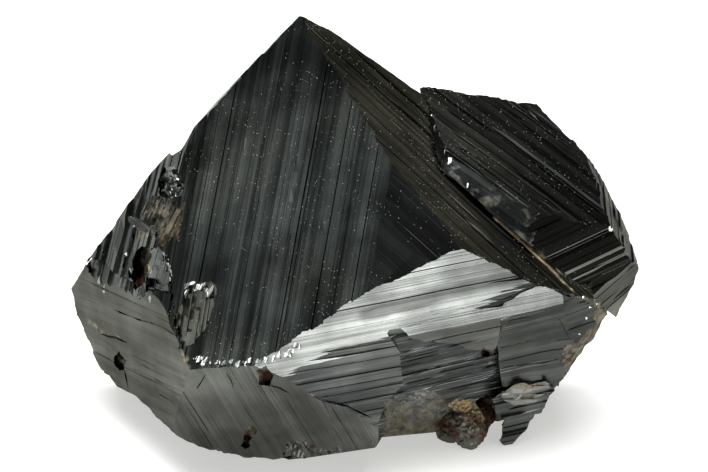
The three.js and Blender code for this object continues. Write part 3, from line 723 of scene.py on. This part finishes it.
def behind(name, turned, face, box, seed):
    """Everything behind a face, as a block whose top has the face's own relief."""
    top = rough_top if face.rough else striated_top
    columns, rows, heights = top(face, box, np.random.default_rng(seed))
    # Around the fine part, one wide step runs out to each side of the block.
    columns = np.concatenate([[-REACH], columns, [REACH]])
    rows = np.concatenate([[-REACH], rows, [REACH]])
    heights = np.pad(heights, 1)
    n, m = heights.shape
    x, z = np.meshgrid(columns, rows, indexing="ij")
    across, normal, run, middle = face_frame(turned, face)
    local = np.stack([x, heights, z], -1).reshape(-1, 3)
    corners = [(a, -REACH, b) for a in (-REACH, REACH) for b in (-REACH, REACH)]
    local = np.vstack([local, corners])
    points = local @ np.array([across, normal, run]) + np.array(middle)
    index = np.arange(n * m).reshape(n, m)
    quads = np.stack([index[:-1, :-1], index[:-1, 1:], index[1:, 1:], index[1:, :-1]], -1).reshape(-1, 4)
    b00, b01, b10, b11 = range(n * m, n * m + 4)
    sides = [
        index[0, ::-1].tolist() + [b00, b01],
        index[-1, :].tolist() + [b11, b10],
        index[:, 0].tolist() + [b10, b00],
        index[::-1, -1].tolist() + [b01, b11],
        [b00, b10, b11, b01],
    ]
    return mesh_object(name, points, quads.tolist() + sides, face.finish, local[:, [0, 2]])


def behind_place(name, face, outline, seed):
    """Everything behind a face of the main lattice, made fine around an outline of the front view."""
    across, normal, run, middle = face_frame(MAIN_LATTICE, face)
    points = [seen_on(right, up, normal, face.at) for right, up in outline]
    return behind(name, MAIN_LATTICE, face, fine_box(points, across, run, middle), seed)


def plain_block(name, lift=0.0):
    """A cube about the main crystal's centre, or above it by its lift."""
    sides = (-REACH, REACH)
    points = [(x, y, lift + z) for x in sides for y in sides for z in sides]
    polygons = [(0, 1, 3, 2), (4, 6, 7, 5), (0, 4, 5, 1), (2, 3, 7, 6), (0, 2, 6, 4), (1, 5, 7, 3)]
    return mesh_object(name, points, polygons, "broken")


def sight_cone(name, outline, near, far, finish="broken"):
    """Everything that the eye sees within an outline, between a near and a far depth."""
    area = sum(a[0] * b[1] - b[0] * a[1] for a, b in zip(outline, outline[1:] + outline[:1]))
    if area < 0:
        outline = outline[::-1]
    points = [seen_deep(right, up, deep) for deep in (near, far) for right, up in outline]
    n = len(outline)
    polygons = [list(range(n)), list(range(2 * n - 1, n - 1, -1))]
    polygons += [[(i + 1) % n, i, n + i, n + (i + 1) % n] for i in range(n)]
    return mesh_object(name, points, polygons, finish)


def combine(target, other, operation):
    """Joins, cuts or intersects a solid with another, which is used up."""
    modifier = target.modifiers.new("solid", "BOOLEAN")
    modifier.operation = operation
    modifier.object = other
    modifier.solver = "MANIFOLD"
    seen = target.evaluated_get(bpy.context.evaluated_depsgraph_get())
    mesh = bpy.data.meshes.new_from_object(seen)
    target.modifiers.clear()
    old, target.data = target.data, mesh
    bpy.data.meshes.remove(old)
    bpy.data.meshes.remove(other.data)
    if not mesh.polygons:
        raise RuntimeError(f"nothing is left of {target.name} after a cut")
    return target


def crystal(name, turned, faces):
    """What lies behind all the faces of a crystal."""
    whole = None
    for i, (key, face) in enumerate(faces.items()):
        box = face_extent(turned, faces, key)
        block = behind(f"{name}_{key}", turned, face, box, SEEDS["face"] + i)
        whole = block if whole is None else combine(whole, block, "INTERSECT")
    whole.name = name
    return whole


def break_up(outline, amount, seed, rounds=3):
    """An outline whose sides are broken up again and again."""
    rng = np.random.default_rng(seed)
    points = [Vector(p) for p in outline]
    for _ in range(rounds):
        broken = []
        for here, there in zip(points, points[1:] + points[:1]):
            side = there - here
            outward = Vector((side.y, -side.x))
            broken += [here, here + side * rng.uniform(0.4, 0.6) + outward * rng.normal(0, amount)]
        points = broken
    return [tuple(p) for p in points]


def cut(body, name, outline, floor, around, seed, far=FAR):
    """Cuts out what is seen within an outline, down to a floor whose fine part lies around another."""
    cone = sight_cone(name, outline, NEAR, far, floor.finish if floor else "broken")
    if floor:
        cone = combine(cone, behind_place(name + "_floor", floor, around, seed), "DIFFERENCE")
    return combine(body, cone, "DIFFERENCE")


def cut_places(body, places, seed):
    """Cuts out broken places."""
    for i, (name, place) in enumerate(places.items()):
        outline = place.outline
        if place.ragged:
            outline = break_up(outline, RAGGED["cut"], seed + i)
        body = cut(body, name, outline, place.face, place.outline, seed + i, place.far)
    return body


def add_blocks(body):
    """Joins on the blocks that stand out."""
    for i, (name, place) in enumerate(BLOCKS.items()):
        outline = break_up(place.outline, RAGGED["block"], SEEDS["block"] + i)
        block = sight_cone(name, outline, NEAR, BLOCK_ROOT)
        faces = {"front": place.face}
        faces.update((key, MAIN_FACES[key]) for key in BLOCK_BOUNDS)
        for key, face in faces.items():
            inside = behind_place(name + key, face, place.outline, SEEDS["block_face"] + i)
            block = combine(block, inside, "INTERSECT")
        body = combine(body, block, "UNION")
    return body


def lump(name, right, up, deep, radius, shift):
    """A rounded lump with a rough crust, which the shift makes unlike the other lumps."""
    middle = seen_deep(right, up, deep)
    bpy.ops.mesh.primitive_ico_sphere_add(subdivisions=5, radius=1)
    ball = bpy.context.object
    points = []
    for vertex in ball.data.vertices:
        way = vertex.co.normalized()
        at = way * LUMP_WAVES + Vector((shift, 0, 0))
        crumbs = noise.turbulence(at * LUMP_CRUMBS, 3, False)
        swell = 1 + LUMP_SWELL * noise.noise(at) + LUMP_CRUMBLE * crumbs - LUMP_CRUMBLE / 2
        points.append(middle + way * radius * swell)
    polygons = [list(p.vertices) for p in ball.data.polygons]
    bpy.data.objects.remove(ball)
    return mesh_object(name, points, polygons, "knobbly")


def cut_cracks(body):
    """Thin cracks, each a groove that tapers at its ends."""
    for name, (line, width, deep) in CRACKS.items():
        points = [Vector(p) for p in line]
        middle, normal = touched(body, *points[len(points) // 2])
        near, far = [], []
        for i, point in enumerate(points):
            way = (points[min(i + 1, len(points) - 1)] - points[max(i - 1, 0)]).normalized()
            half = width / 2 * (1 if 0 < i < len(points) - 1 else CRACK_END)
            beside = Vector((-way.y, way.x)) * half
            near.append(tuple(point + beside))
            far.append(tuple(point - beside))
        outline = break_up(near + far[::-1], RAGGED["crack"], SEEDS["crack"] + len(name))
        floor = Face(tuple(MAIN_LATTICE.transposed() @ normal), normal.dot(middle) - deep, "crust")
        body = cut(body, name, outline, floor, line, SEEDS["crack_floor"])
    return body


def chips_in_rows():
    """The places of the chips in rows, each with the way that its floor faces."""
    seed = SEEDS["chip_row"]
    chips = []
    for line, count, widest, tallest, facing in GLINT_ROWS:
        points = [Vector(p) for p in line]
        for i in range(count):
            share = (i + chance(seed, i)) / count * (len(points) - 1)
            j = int(share)
            at = points[j].lerp(points[j + 1], share - j)
            up = at.y + ROW_WANDER * (chance(seed + 1, i) - 0.5)
            wide = widest * (LEAST_CHIP + (1 - LEAST_CHIP) * chance(seed + 2, i))
            tall = tallest * (LEAST_CHIP + (1 - LEAST_CHIP) * chance(seed + 3, i))
            chips.append(((at.x, up, wide, tall), facing))
    return chips


def cut_glints(body):
    """Small chips whose flat floors catch a lamp, with a painted highlight in their far lighter finish."""
    chips = [(place, FLASH_FRONT) for place in FRONT_GLINTS] + [(place, FLASH_LEFT) for place in LEFT_GLINTS]
    chips += chips_in_rows()
    for i, ((right, up, wide, tall), facing) in enumerate(chips):
        corners = [(right + x * wide / 2, up + y * tall / 2) for x, y in SQUARE]
        middle, _ = touched(body, right, up)
        floor = Face(facing, 0, "glint", strips=CHIP_STRIPS)
        normal, _ = plane_of(MAIN_LATTICE, floor)
        floor = floor._replace(at=normal.dot(middle) - CHIP_DEPTH)
        outline = break_up(corners, RAGGED["chip"], SEEDS["chip"] + i, rounds=2)
        body = cut(body, f"chip_{i}", outline, floor, corners, SEEDS["chip_floor"] + i)
    return body


def largest_body(made):
    """Deletes slivers that a cut has left loose."""
    mesh = made.data
    root = np.arange(len(mesh.vertices))
    edges = np.empty(len(mesh.edges) * 2, np.int32)
    mesh.edges.foreach_get("vertices", edges)
    edges = edges.reshape(-1, 2)
    # Each point takes the lowest number among those joined to it, until no number changes.
    while True:
        low = np.minimum(root[edges[:, 0]], root[edges[:, 1]])
        lower = root.copy()
        np.minimum.at(lower, edges[:, 0], low)
        np.minimum.at(lower, edges[:, 1], low)
        lower = lower[lower]
        if (lower == root).all():
            break
        root = lower
    kept = np.bincount(root).argmax()
    if (root == kept).all():
        return
    cleaned = bmesh.new()
    cleaned.from_mesh(mesh)
    cleaned.verts.ensure_lookup_table()
    loose = [cleaned.verts[i] for i in np.flatnonzero(root != kept)]
    bmesh.ops.delete(cleaned, geom=loose, context="VERTS")
    cleaned.to_mesh(mesh)
    cleaned.free()


def write_stains(body):
    """Writes how stained each point is, by its distance from the stains' lines."""
    points = np.empty(len(body.data.vertices) * 3)
    body.data.vertices.foreach_get("co", points)
    points = points.reshape(-1, 3)
    for kind, stains in STAINS.items():
        value = np.zeros(len(points))
        for line, width, strength in stains:
            places = [np.array(touched(body, *place)[0]) for place in line]
            for start, end in zip(places, places[1:] or places):
                side = end - start
                share = (points - start) @ side / max(side @ side, TINY)
                nearest = start + np.clip(share, 0, 1)[:, None] * side
                gap = np.linalg.norm(points - nearest, axis=1)
                value = np.maximum(value, strength * np.clip(STAIN_EDGE - gap / width, 0, 1))
        layer = body.data.attributes.new(kind, "FLOAT", "POINT")
        layer.data.foreach_set("value", value.astype(np.float32))


def beyond_seam(with_overlap):
    """What lies beyond both sides of the seam, with its overlap or without."""
    beyond = plain_block("beyond_seam")
    box = (-SEAM_REACH, SEAM_REACH, -SEAM_REACH, SEAM_REACH)
    for i, (facing, at, overlap) in enumerate(SEAM):
        side = Face(facing, at - with_overlap * overlap)
        flat = behind(f"seam_{i}", MAIN_LATTICE, side, box, SEEDS["seam"] + i)
        beyond = combine(beyond, flat, "DIFFERENCE")
    return beyond


def build_body():
    """The intergrown crystals as one solid, in millimetres from the main crystal's centre."""
    body = crystal("main_crystal", MAIN_LATTICE, MAIN_FACES)
    body = combine(body, beyond_seam(False), "DIFFERENCE")
    body = cut_places(body, CUTS, SEEDS["cut"])
    body = add_blocks(body)
    body = cut_places(body, LATE_CUTS, SEEDS["late_cut"])
    for i, place in enumerate(NODULE_LUMPS):
        body = combine(body, lump(f"lump_{i}", *place, i * LUMP_SHIFT), "UNION")
    second = crystal("second_crystal", SECOND_LATTICE, SECOND_FACES)
    body = combine(body, combine(second, beyond_seam(True), "INTERSECT"), "UNION")
    body = cut_cracks(body)
    body = cut_glints(body)
    above = plain_block("above_base", lift=REACH - BASE_DROP)
    body = combine(body, above, "INTERSECT")
    largest_body(body)
    write_stains(body)
    return body


class Nodes:
    """A node tree, with short ways to add its nodes."""

    def __init__(self, tree, coordinates=None):
        self.tree = tree
        self.place = self.add("ShaderNodeTexCoord").outputs[coordinates] if coordinates else None

    def fill(self, node, inputs):
        """Sets or links a node's inputs, apart from those that are None."""
        for key, value in inputs.items():
            if isinstance(value, bpy.types.NodeSocket):
                self.tree.links.new(value, node.inputs[key])
            elif value is not None:
                node.inputs[key].default_value = value

    def add(self, kind, inputs=None, **settings):
        """A new node with its settings made and its inputs filled."""
        made = self.tree.nodes.new(kind)
        for key, value in settings.items():
            setattr(made, key, value)
        self.fill(made, inputs or {})
        return made

    def maths(self, operation, *values):
        """A sum, product or the like of some values."""
        return self.add("ShaderNodeMath", dict(enumerate(values)), operation=operation).outputs[0]

    def times(self, first, second):
        """The product of two values."""
        return self.maths("MULTIPLY", first, second)

    def varied(self, value, pattern, amount):
        """A value made larger or smaller by a pattern between -1 and 1."""
        return self.times(value, self.maths("MULTIPLY_ADD", pattern, amount, 1.0))

    def remap(self, value, low, high, to_low=0.0, to_high=1.0):
        """A value moved from one range to another and held inside it."""
        inputs = {"Value": value, "From Min": low, "From Max": high, "To Min": to_low, "To Max": to_high}
        return self.add("ShaderNodeMapRange", inputs).outputs[0]

    def between(self, factor, first, second, blend="MIX"):
        """A colour between two others."""
        inputs = {0: factor, 6: first, 7: second}
        return self.add("ShaderNodeMix", inputs, data_type="RGBA", blend_type=blend).outputs[2]

    def scaled(self, colour, factor):
        """A colour made lighter or darker."""
        return self.add("ShaderNodeVectorMath", {0: colour, "Scale": factor}, operation="SCALE").outputs[0]

    def height(self, vector):
        """How far up a place or a direction points."""
        return self.add("ShaderNodeSeparateXYZ", {0: vector}).outputs[2]

    def attribute(self, name):
        """What is written on the mesh under a name."""
        return self.add("ShaderNodeAttribute", attribute_name=name).outputs["Fac"]

    def cloud(self, scale, detail=3.0, vector=None):
        """Soft noise, in the tree's own coordinates unless others are given."""
        inputs = {"Vector": self.place if vector is None else vector, "Scale": scale, "Detail": detail}
        return self.add("ShaderNodeTexNoise", inputs).outputs["Fac"]

    def drawn_out(self, vector, across, along):
        """A face's own map, drawn out along its striations."""
        return self.add("ShaderNodeMapping", {"Vector": vector, "Scale": (across, along, 1)}).outputs[0]

    def bump(self, height, strength, distance, under=None):
        """A bump on the surface, or on top of another bump."""
        inputs = {"Height": height, "Strength": strength, "Distance": distance, "Normal": under}
        return self.add("ShaderNodeBump", inputs).outputs[0]


def new_material(name):
    """A material, its nodes and its shader."""
    material = bpy.data.materials.new(name)
    material.use_nodes = True
    return material, Nodes(material.node_tree, "Object"), material.node_tree.nodes["Principled BSDF"]


def filmed_metal(nodes, settings, tint):
    """The colour of the bare metal under its thin films, and how bluish the film is."""
    blue = nodes.remap(tint, 0, 1)
    brown = nodes.remap(tint, 0, -1)
    metal = nodes.between(blue, tuple(settings.metal), tuple(settings.blue_metal))
    metal = nodes.between(brown, metal, tuple(settings.brown_metal))
    filmed = nodes.remap(blue, 0.2, 0.6)
    brown_spots = nodes.times(nodes.remap(nodes.cloud(170, 4), 0.48, 0.62, 0, 0.35), filmed)
    return nodes.between(brown_spots, metal, tuple(settings.brown_metal)), filmed


def clouded(nodes, tone_and_painted_light, filmed, clouds, face_map):
    """A lightness made uneven by clouds and by streaks along the striations, more so on the bluish faces,
    with painted shade on those faces towards the foot and the top.
    """
    tone_and_painted_light = nodes.times(tone_and_painted_light, nodes.remap(clouds, 0.35, 0.65, 1.15, 0.7))
    slow_clouds = nodes.remap(nodes.cloud(120, 5), 0.42, 0.58, -1, 1)
    tone_and_painted_light = nodes.varied(tone_and_painted_light, slow_clouds, nodes.maths("MULTIPLY_ADD", filmed, 0.22, 0.26))
    for across, along, strength in STREAKS:
        drawn_out = nodes.drawn_out(face_map, across, along)
        streaks = nodes.remap(nodes.cloud(1.0, 4, drawn_out), 0.36, 0.64, -1, 1)
        amount = nodes.times(nodes.maths("MULTIPLY_ADD", filmed, 0.55, 0.45), strength)
        tone_and_painted_light = nodes.varied(tone_and_painted_light, streaks, amount)
    # Painted shade: the bluish faces are made darker towards the foot of the crystals, standing in for the
    # darker things that they reflect there, and at their very top.
    height = nodes.height(nodes.place)
    foot = nodes.remap(height, 5 * MM, 12 * MM, 0.65, 1)
    top = nodes.remap(height, 16 * MM, 22 * MM, 1, 0.82)
    return nodes.varied(tone_and_painted_light, nodes.maths("SUBTRACT", nodes.times(foot, top), 1.0), filmed)


def earthy_crust(nodes, settings, earthy, crumbs):
    """The colour of the earthy crust, and how far it hides the metal."""
    patches = nodes.cloud(320, 5)
    earth = nodes.between(nodes.remap(crumbs, 0.4, 0.6), tuple(settings.earth_dark), tuple(settings.earth))
    earth = nodes.between(nodes.remap(patches, 0.5, 0.64, 0, 0.55), earth, tuple(settings.ochre_dark))
    patchy = nodes.maths("MULTIPLY_ADD", nodes.remap(patches, 0.4, 0.6, -0.35, 0.35), earthy, earthy)
    worn = nodes.remap(nodes.maths("ADD", patchy, nodes.times(crumbs, 0.6)), 0.62, 0.95)
    return earth, nodes.times(worn, nodes.remap(earthy, 0, 0.1))


def stain(nodes, kind, fine_crumbs, dark, light):
    """How far a stain, broken up at its edges, hides what is under it, and its colour."""
    strength = nodes.attribute(kind)
    broken_up = nodes.maths("ADD", strength, nodes.times(nodes.cloud(1600, 6), 1.3))
    stained = nodes.times(nodes.remap(broken_up, 1.1, 1.45), nodes.remap(strength, 0.02, 0.2))
    return stained, nodes.between(nodes.remap(fine_crumbs, 0.4, 0.65), tuple(dark), tuple(light))


def fine_relief(nodes, face_map, crumbs, worn):
    """Low waves, fine growth lines across the face's own map, and a grain where the metal is hidden."""
    waves = nodes.bump(nodes.cloud(230, 1), 1.0, 0.06 * MM)
    lines = nodes.bump(nodes.cloud(9.0, 4.0, nodes.drawn_out(face_map, 1, 0.02)), 0.12, 0.04 * MM, waves)
    return nodes.bump(crumbs, nodes.remap(worn, 0, 1, 0.02, 0.8), 0.12 * MM, lines)


def magnetite_material(settings):
    """Dark metal with thin films, an earthy crust on the broken faces, and stains."""
    material, nodes, shader = new_material("magnetite")
    face_map = nodes.add("ShaderNodeUVMap", uv_map="UVMap").outputs[0]
    roughness, earthy, tint, tone_and_painted_light = (nodes.attribute(key) for key in FINISH_KEYS)
    clouds = nodes.cloud(260)
    crumbs = nodes.cloud(2200, 4)
    fine_crumbs = nodes.cloud(5000, 4)
    metal, filmed = filmed_metal(nodes, settings, tint)
    tone_and_painted_light = clouded(nodes, tone_and_painted_light, filmed, clouds, face_map)
    etched = nodes.maths("ADD", nodes.attribute("etched"), nodes.times(nodes.cloud(500, 4), 0.8))
    etched = nodes.remap(etched, 0.6, 1.1)
    tone_and_painted_light = nodes.times(tone_and_painted_light, nodes.remap(etched, 0, 1, 1, 0.72))
    earth, worn = earthy_crust(nodes, settings, earthy, crumbs)
    # Each face's tone and its painted light and shade make the metal lighter or darker here.
    colour = nodes.between(worn, nodes.scaled(metal, tone_and_painted_light), earth)
    for kind, dark, light in (
        ("ochre", settings.ochre_dark, settings.ochre),
        ("rust", settings.rust_dark, settings.rust),
    ):
        stained, stain_colour = stain(nodes, kind, fine_crumbs, dark, light)
        colour = nodes.between(stained, colour, stain_colour)
        worn = nodes.maths("MAXIMUM", worn, stained)
    uneven = nodes.maths("MULTIPLY_ADD", etched, 0.05, nodes.remap(clouds, 0.3, 0.7, -0.04, 0.06))
    roughness = nodes.maths("ADD", roughness, uneven)
    nodes.fill(shader, {
        "Base Color": colour,
        "Metallic": nodes.remap(worn, 0, 1, 1, 0.1),
        "Roughness": nodes.maths("ADD", nodes.remap(worn, 0, 1, 0, 0.3), roughness),
        "Specular Tint": (0.45, 0.45, 0.43, 1),
        "Normal": fine_relief(nodes, face_map, crumbs, worn),
    })
    return material


def dust_material(settings):
    """Pale dust with a darker mottling."""
    material, nodes, shader = new_material("dust")
    uneven = nodes.cloud(3000.0, 2.0)
    light = tuple(settings.dust)
    dark = tuple(DUST_SHADE * value for value in light[:3]) + (1,)
    nodes.fill(shader, {
        "Base Color": nodes.between(nodes.remap(uneven, 0.4, 0.6), dark, light),
        "Roughness": nodes.remap(uneven, 0.3, 0.7, 0.7, 0.95),
        "Normal": nodes.bump(uneven, 0.4, 0.02 * MM),
    })
    return material


def colour_setting(name, description, *parts):
    """A colour that a user would change."""
    return bpy.props.FloatVectorProperty(
        name=name, description=description, subtype="COLOR", size=4, default=(*parts, 1), min=0, max=1,
    )


class MagnetiteSettings(bpy.types.PropertyGroup):
    """Colours and counts that a user would change."""

    metal: colour_setting("Metal", "Colour of the bare crystal", 0.117, 0.122, 0.116)
    blue_metal: colour_setting("Blue film", "Colour of the faces with a bluish film", 0.11, 0.123, 0.123)
    brown_metal: colour_setting("Brown film", "Colour of the faces with a brownish film", 0.123, 0.118, 0.096)
    earth: colour_setting("Earth", "Light part of the broken faces' crust", 0.17, 0.155, 0.11)
    earth_dark: colour_setting("Dark earth", "Dark part of the broken faces' crust", 0.045, 0.043, 0.032)
    rust: colour_setting("Rust", "Light part of the rust stains", 0.075, 0.03, 0.014)
    rust_dark: colour_setting("Dark rust", "Dark part of the rust stains", 0.013, 0.006, 0.004)
    ochre: colour_setting("Ochre", "Light part of the earthy stains", 0.32, 0.24, 0.13)
    ochre_dark: colour_setting("Dark ochre", "Dark part of the earthy stains", 0.07, 0.055, 0.03)
    dust: colour_setting("Dust", "Colour of the dust specks", 0.5, 0.5, 0.47)
    speck_radius: bpy.props.FloatProperty(
        name="Speck radius", description="Radius of a dust speck", subtype="DISTANCE", unit="LENGTH",
        default=0.017 * MM, min=0, precision=6,
    )
    specks: bpy.props.FloatProperty(
        name="Specks", description="Most dust specks to a square millimetre", default=14.0, min=0,
    )


class MAGNETITE_OT_crystals(bpy.types.Operator):
    """Builds the intergrown crystals"""

    bl_idname = "magnetite.crystals"
    bl_label = "Crystals"

    def execute(self, context):
        body = build_body()
        body.name = "crystals"
        to_part = Matrix.Scale(MM, 4) @ Matrix.Translation(TO_PART)
        body.data.transform(to_part)
        body.data.materials.clear()
        body.data.materials.append(magnetite_material(context.scene.magnetite))
        body.data.shade_flat()
        triangles = sum(len(p.vertices) - 2 for p in body.data.polygons)
        print("crystals:", triangles, "triangles")
        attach(body, "root")
        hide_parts(NODE)
        return {"FINISHED"}


def speck_tree():
    """Geometry nodes that scatter small round specks over the faces that look up."""
    tree = bpy.data.node_groups.new("dust_specks", "GeometryNodeTree")
    kinds = {
        "Crystals": "Geometry",
        "Speck radius": "Float",
        "Specks": "Float",
        "Seed": "Int",
        "Material": "Material",
    }
    for name, kind in kinds.items():
        tree.interface.new_socket(name, in_out="INPUT", socket_type="NodeSocket" + kind)
    tree.interface.new_socket("Specks", in_out="OUTPUT", socket_type="NodeSocketGeometry")
    nodes = Nodes(tree)
    given = nodes.add("NodeGroupInput").outputs
    facing = nodes.height(nodes.add("GeometryNodeInputNormal").outputs[0])
    share = nodes.times(nodes.remap(facing, 0.3, 0.6), nodes.remap(nodes.cloud(350.0, 5.0), 0.4, 0.68))
    points = nodes.add("GeometryNodeDistributePointsOnFaces", {
        "Mesh": given["Crystals"], "Density": nodes.times(share, given["Specks"]), "Seed": given["Seed"],
    }).outputs["Points"]
    speck = nodes.add("GeometryNodeMeshIcoSphere", {"Radius": given["Speck radius"], "Subdivisions": 1})
    inputs = {2: SPECK_SIZES[0], 3: SPECK_SIZES[1], "Seed": given["Seed"]}
    size = nodes.add("FunctionNodeRandomValue", inputs, data_type="FLOAT")
    placed = nodes.add("GeometryNodeInstanceOnPoints", {
        "Points": points, "Instance": speck.outputs["Mesh"], "Scale": size.outputs[1],
    })
    real = nodes.add("GeometryNodeRealizeInstances", {0: placed.outputs[0]})
    inputs = {"Geometry": real.outputs[0], "Material": given["Material"]}
    dressed = nodes.add("GeometryNodeSetMaterial", inputs)
    nodes.add("NodeGroupOutput", {0: dressed.outputs[0]})
    return tree


class MAGNETITE_OT_dust(bpy.types.Operator):
    """Scatters dust specks over the crystals"""

    bl_idname = "magnetite.dust"
    bl_label = "Dust"

    def execute(self, context):
        settings = context.scene.magnetite
        dust = bpy.data.objects.new("dust_specks", bpy.data.objects["crystals"].data)
        context.scene.collection.objects.link(dust)
        tree = speck_tree()
        modifier = dust.modifiers.new("specks", "NODES")
        modifier.node_group = tree
        values = {
            "Speck radius": settings.speck_radius,
            "Specks": settings.specks / MM**2,
            "Seed": SEEDS["dust"],
            "Material": dust_material(settings),
        }
        for socket in tree.interface.items_tree:
            if socket.in_out == "INPUT" and socket.name in values:
                modifier[socket.identifier] = values[socket.name]
        seen = dust.evaluated_get(context.evaluated_depsgraph_get())
        mesh = bpy.data.meshes.new_from_object(seen)
        dust.modifiers.clear()
        dust.data = mesh
        if not mesh.polygons:
            raise RuntimeError("no dust speck was made")
        print("dust:", len(mesh.polygons), "triangles")
        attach(dust, "root")
        return {"FINISHED"}


def floor_material():
    """A plain pale floor that glows a little."""
    material = bpy.data.materials.new("pale_floor")
    material.use_nodes = True
    shader = material.node_tree.nodes["Principled BSDF"]
    shader.inputs["Base Color"].default_value = (0.6, 0.6, 0.59, 1)
    shader.inputs["Roughness"].default_value = 0.6
    shader.inputs["Emission Color"].default_value = (1, 1, 0.98, 1)
    shader.inputs["Emission Strength"].default_value = 0.5
    return material


# Lamps: where each is, its width and height, its power, whether reflections show it. Metres and watts.
LAMPS = {
    "key_low_right": ((0.18, -0.26, 0.03), (0.13, 0.1), 0.38, True),
    "low_left": ((-0.3, -0.02, 0.03), (0.06, 0.06), 0.2, True),
    "ceiling_fill": ((0.0, -0.05, 0.5), (0.5, 0.5), 7, False),
}
LIT_POINT = Vector((0, 0, 0.012))

# Soft panels of the surround: where each is, how far it reaches at full and fades out in degrees, colour.
PANELS = {
    "high_left": ((-0.5, -0.4, 0.77), 8, 34, (0.56, 0.6, 0.59)),
    "behind_right": ((0.5, 0.7, 0.35), 4, 30, (0.2, 0.19, 0.15)),
    "low_back_left": ((-0.7, 0.7, 0.1), 5, 35, (0.6, 0.62, 0.6)),
}
ROOM = (0.07, 0.072, 0.07, 1)
HORIZON = (0.9, 0.9, 0.9, 1)
FLOOR_RADIUS = 1.2
SENSOR = 36  # the width of the camera's sensor, in millimetres


def area_light(name, place, size, power, glossy):
    """A soft rectangular lamp aimed at the specimen."""
    data = bpy.data.lights.new(name, "AREA")
    data.shape = "RECTANGLE"
    data.size, data.size_y = size
    data.energy = power
    lamp = bpy.data.objects.new(name, data)
    lamp.location = place
    lamp.rotation_euler = (LIT_POINT - lamp.location).to_track_quat("-Z", "Y").to_euler()
    lamp.visible_glossy = glossy
    bpy.context.scene.collection.objects.link(lamp)


def tent_world():
    """A dark room with soft panels, pale near the horizon."""
    world = bpy.data.worlds.new("tent")
    world.use_nodes = True
    nodes = Nodes(world.node_tree, "Generated")
    light = nodes.between(nodes.remap(nodes.height(nodes.place), 0.02, 0.14), HORIZON, ROOM)
    for place, full, fade, colour in PANELS.values():
        ends = {0: nodes.place, 1: Vector(place).normalized()}
        facing = nodes.add("ShaderNodeVectorMath", ends, operation="DOT_PRODUCT").outputs["Value"]
        outer, inner = (math.cos(math.radians(angle)) for angle in (fade, full))
        inputs = {"Value": facing, "From Min": outer, "From Max": inner}
        glow = nodes.add("ShaderNodeMapRange", inputs, interpolation_type="SMOOTHSTEP").outputs[0]
        light = nodes.between(glow, light, (*colour, 1), "ADD")
    # Things in the room, so that reflections aren't even.
    light = nodes.scaled(light, nodes.remap(nodes.cloud(5.0, 3.0), 0.38, 0.62, 0.15, 1.85))
    nodes.fill(world.node_tree.nodes["Background"], {0: light})
    bpy.context.scene.world = world


def front_camera():
    """A camera at the eye of the front view."""
    data = bpy.data.cameras.new("camera")
    data.sensor_width = SENSOR
    data.lens = SENSOR * LOOK_DISTANCE / (PHOTO_WIDTH / PHOTO_SCALE)
    data.clip_start, data.clip_end = 0.01, 20
    camera = bpy.data.objects.new("camera", data)
    camera.location = (EYE + TO_PART) * MM
    camera.rotation_euler = (-TO_EYE).to_track_quat("-Z", "Y").to_euler()
    return camera


class MAGNETITE_OT_stage(bpy.types.Operator):
    """Sets the floor, the lights and the camera"""

    bl_idname = "magnetite.stage"
    bl_label = "Stage"

    def execute(self, context):
        scene = context.scene
        bpy.ops.mesh.primitive_circle_add(vertices=96, radius=FLOOR_RADIUS, fill_type="NGON")
        floor = context.object
        floor.name = "floor"
        floor.data.materials.append(floor_material())
        tent_world()
        for name, lamp in LAMPS.items():
            area_light(name, *lamp)
        camera = front_camera()
        scene.collection.objects.link(camera)
        scene.camera = camera
        scene.view_settings.view_transform = "Standard"
        return {"FINISHED"}


class MAGNETITE_PT_panel(bpy.types.Panel):
    """Lists the specimen's steps"""

    bl_idname = "MAGNETITE_PT_panel"
    bl_label = "Magnetite specimen"
    bl_space_type = "VIEW_3D"
    bl_region_type = "UI"
    bl_category = "Magnetite"

    def draw(self, context):
        layout = self.layout
        settings = context.scene.magnetite
        for name in MagnetiteSettings.__annotations__:
            layout.prop(settings, name)
        layout.operator("magnetite.crystals")
        layout.operator("magnetite.dust")
        layout.operator("magnetite.stage")


CLASSES = (
    MagnetiteSettings, MAGNETITE_OT_crystals, MAGNETITE_OT_dust, MAGNETITE_OT_stage, MAGNETITE_PT_panel,
)


def register():
    for each in CLASSES:
        bpy.utils.register_class(each)
    bpy.types.Scene.magnetite = bpy.props.PointerProperty(type=MagnetiteSettings)


def unregister():
    del bpy.types.Scene.magnetite
    for each in reversed(CLASSES):
        bpy.utils.unregister_class(each)


def main():
    register()
    bpy.ops.magnetite.crystals()
    bpy.ops.magnetite.dust()
    bpy.ops.magnetite.stage()


if __name__ == "__main__":
    main()
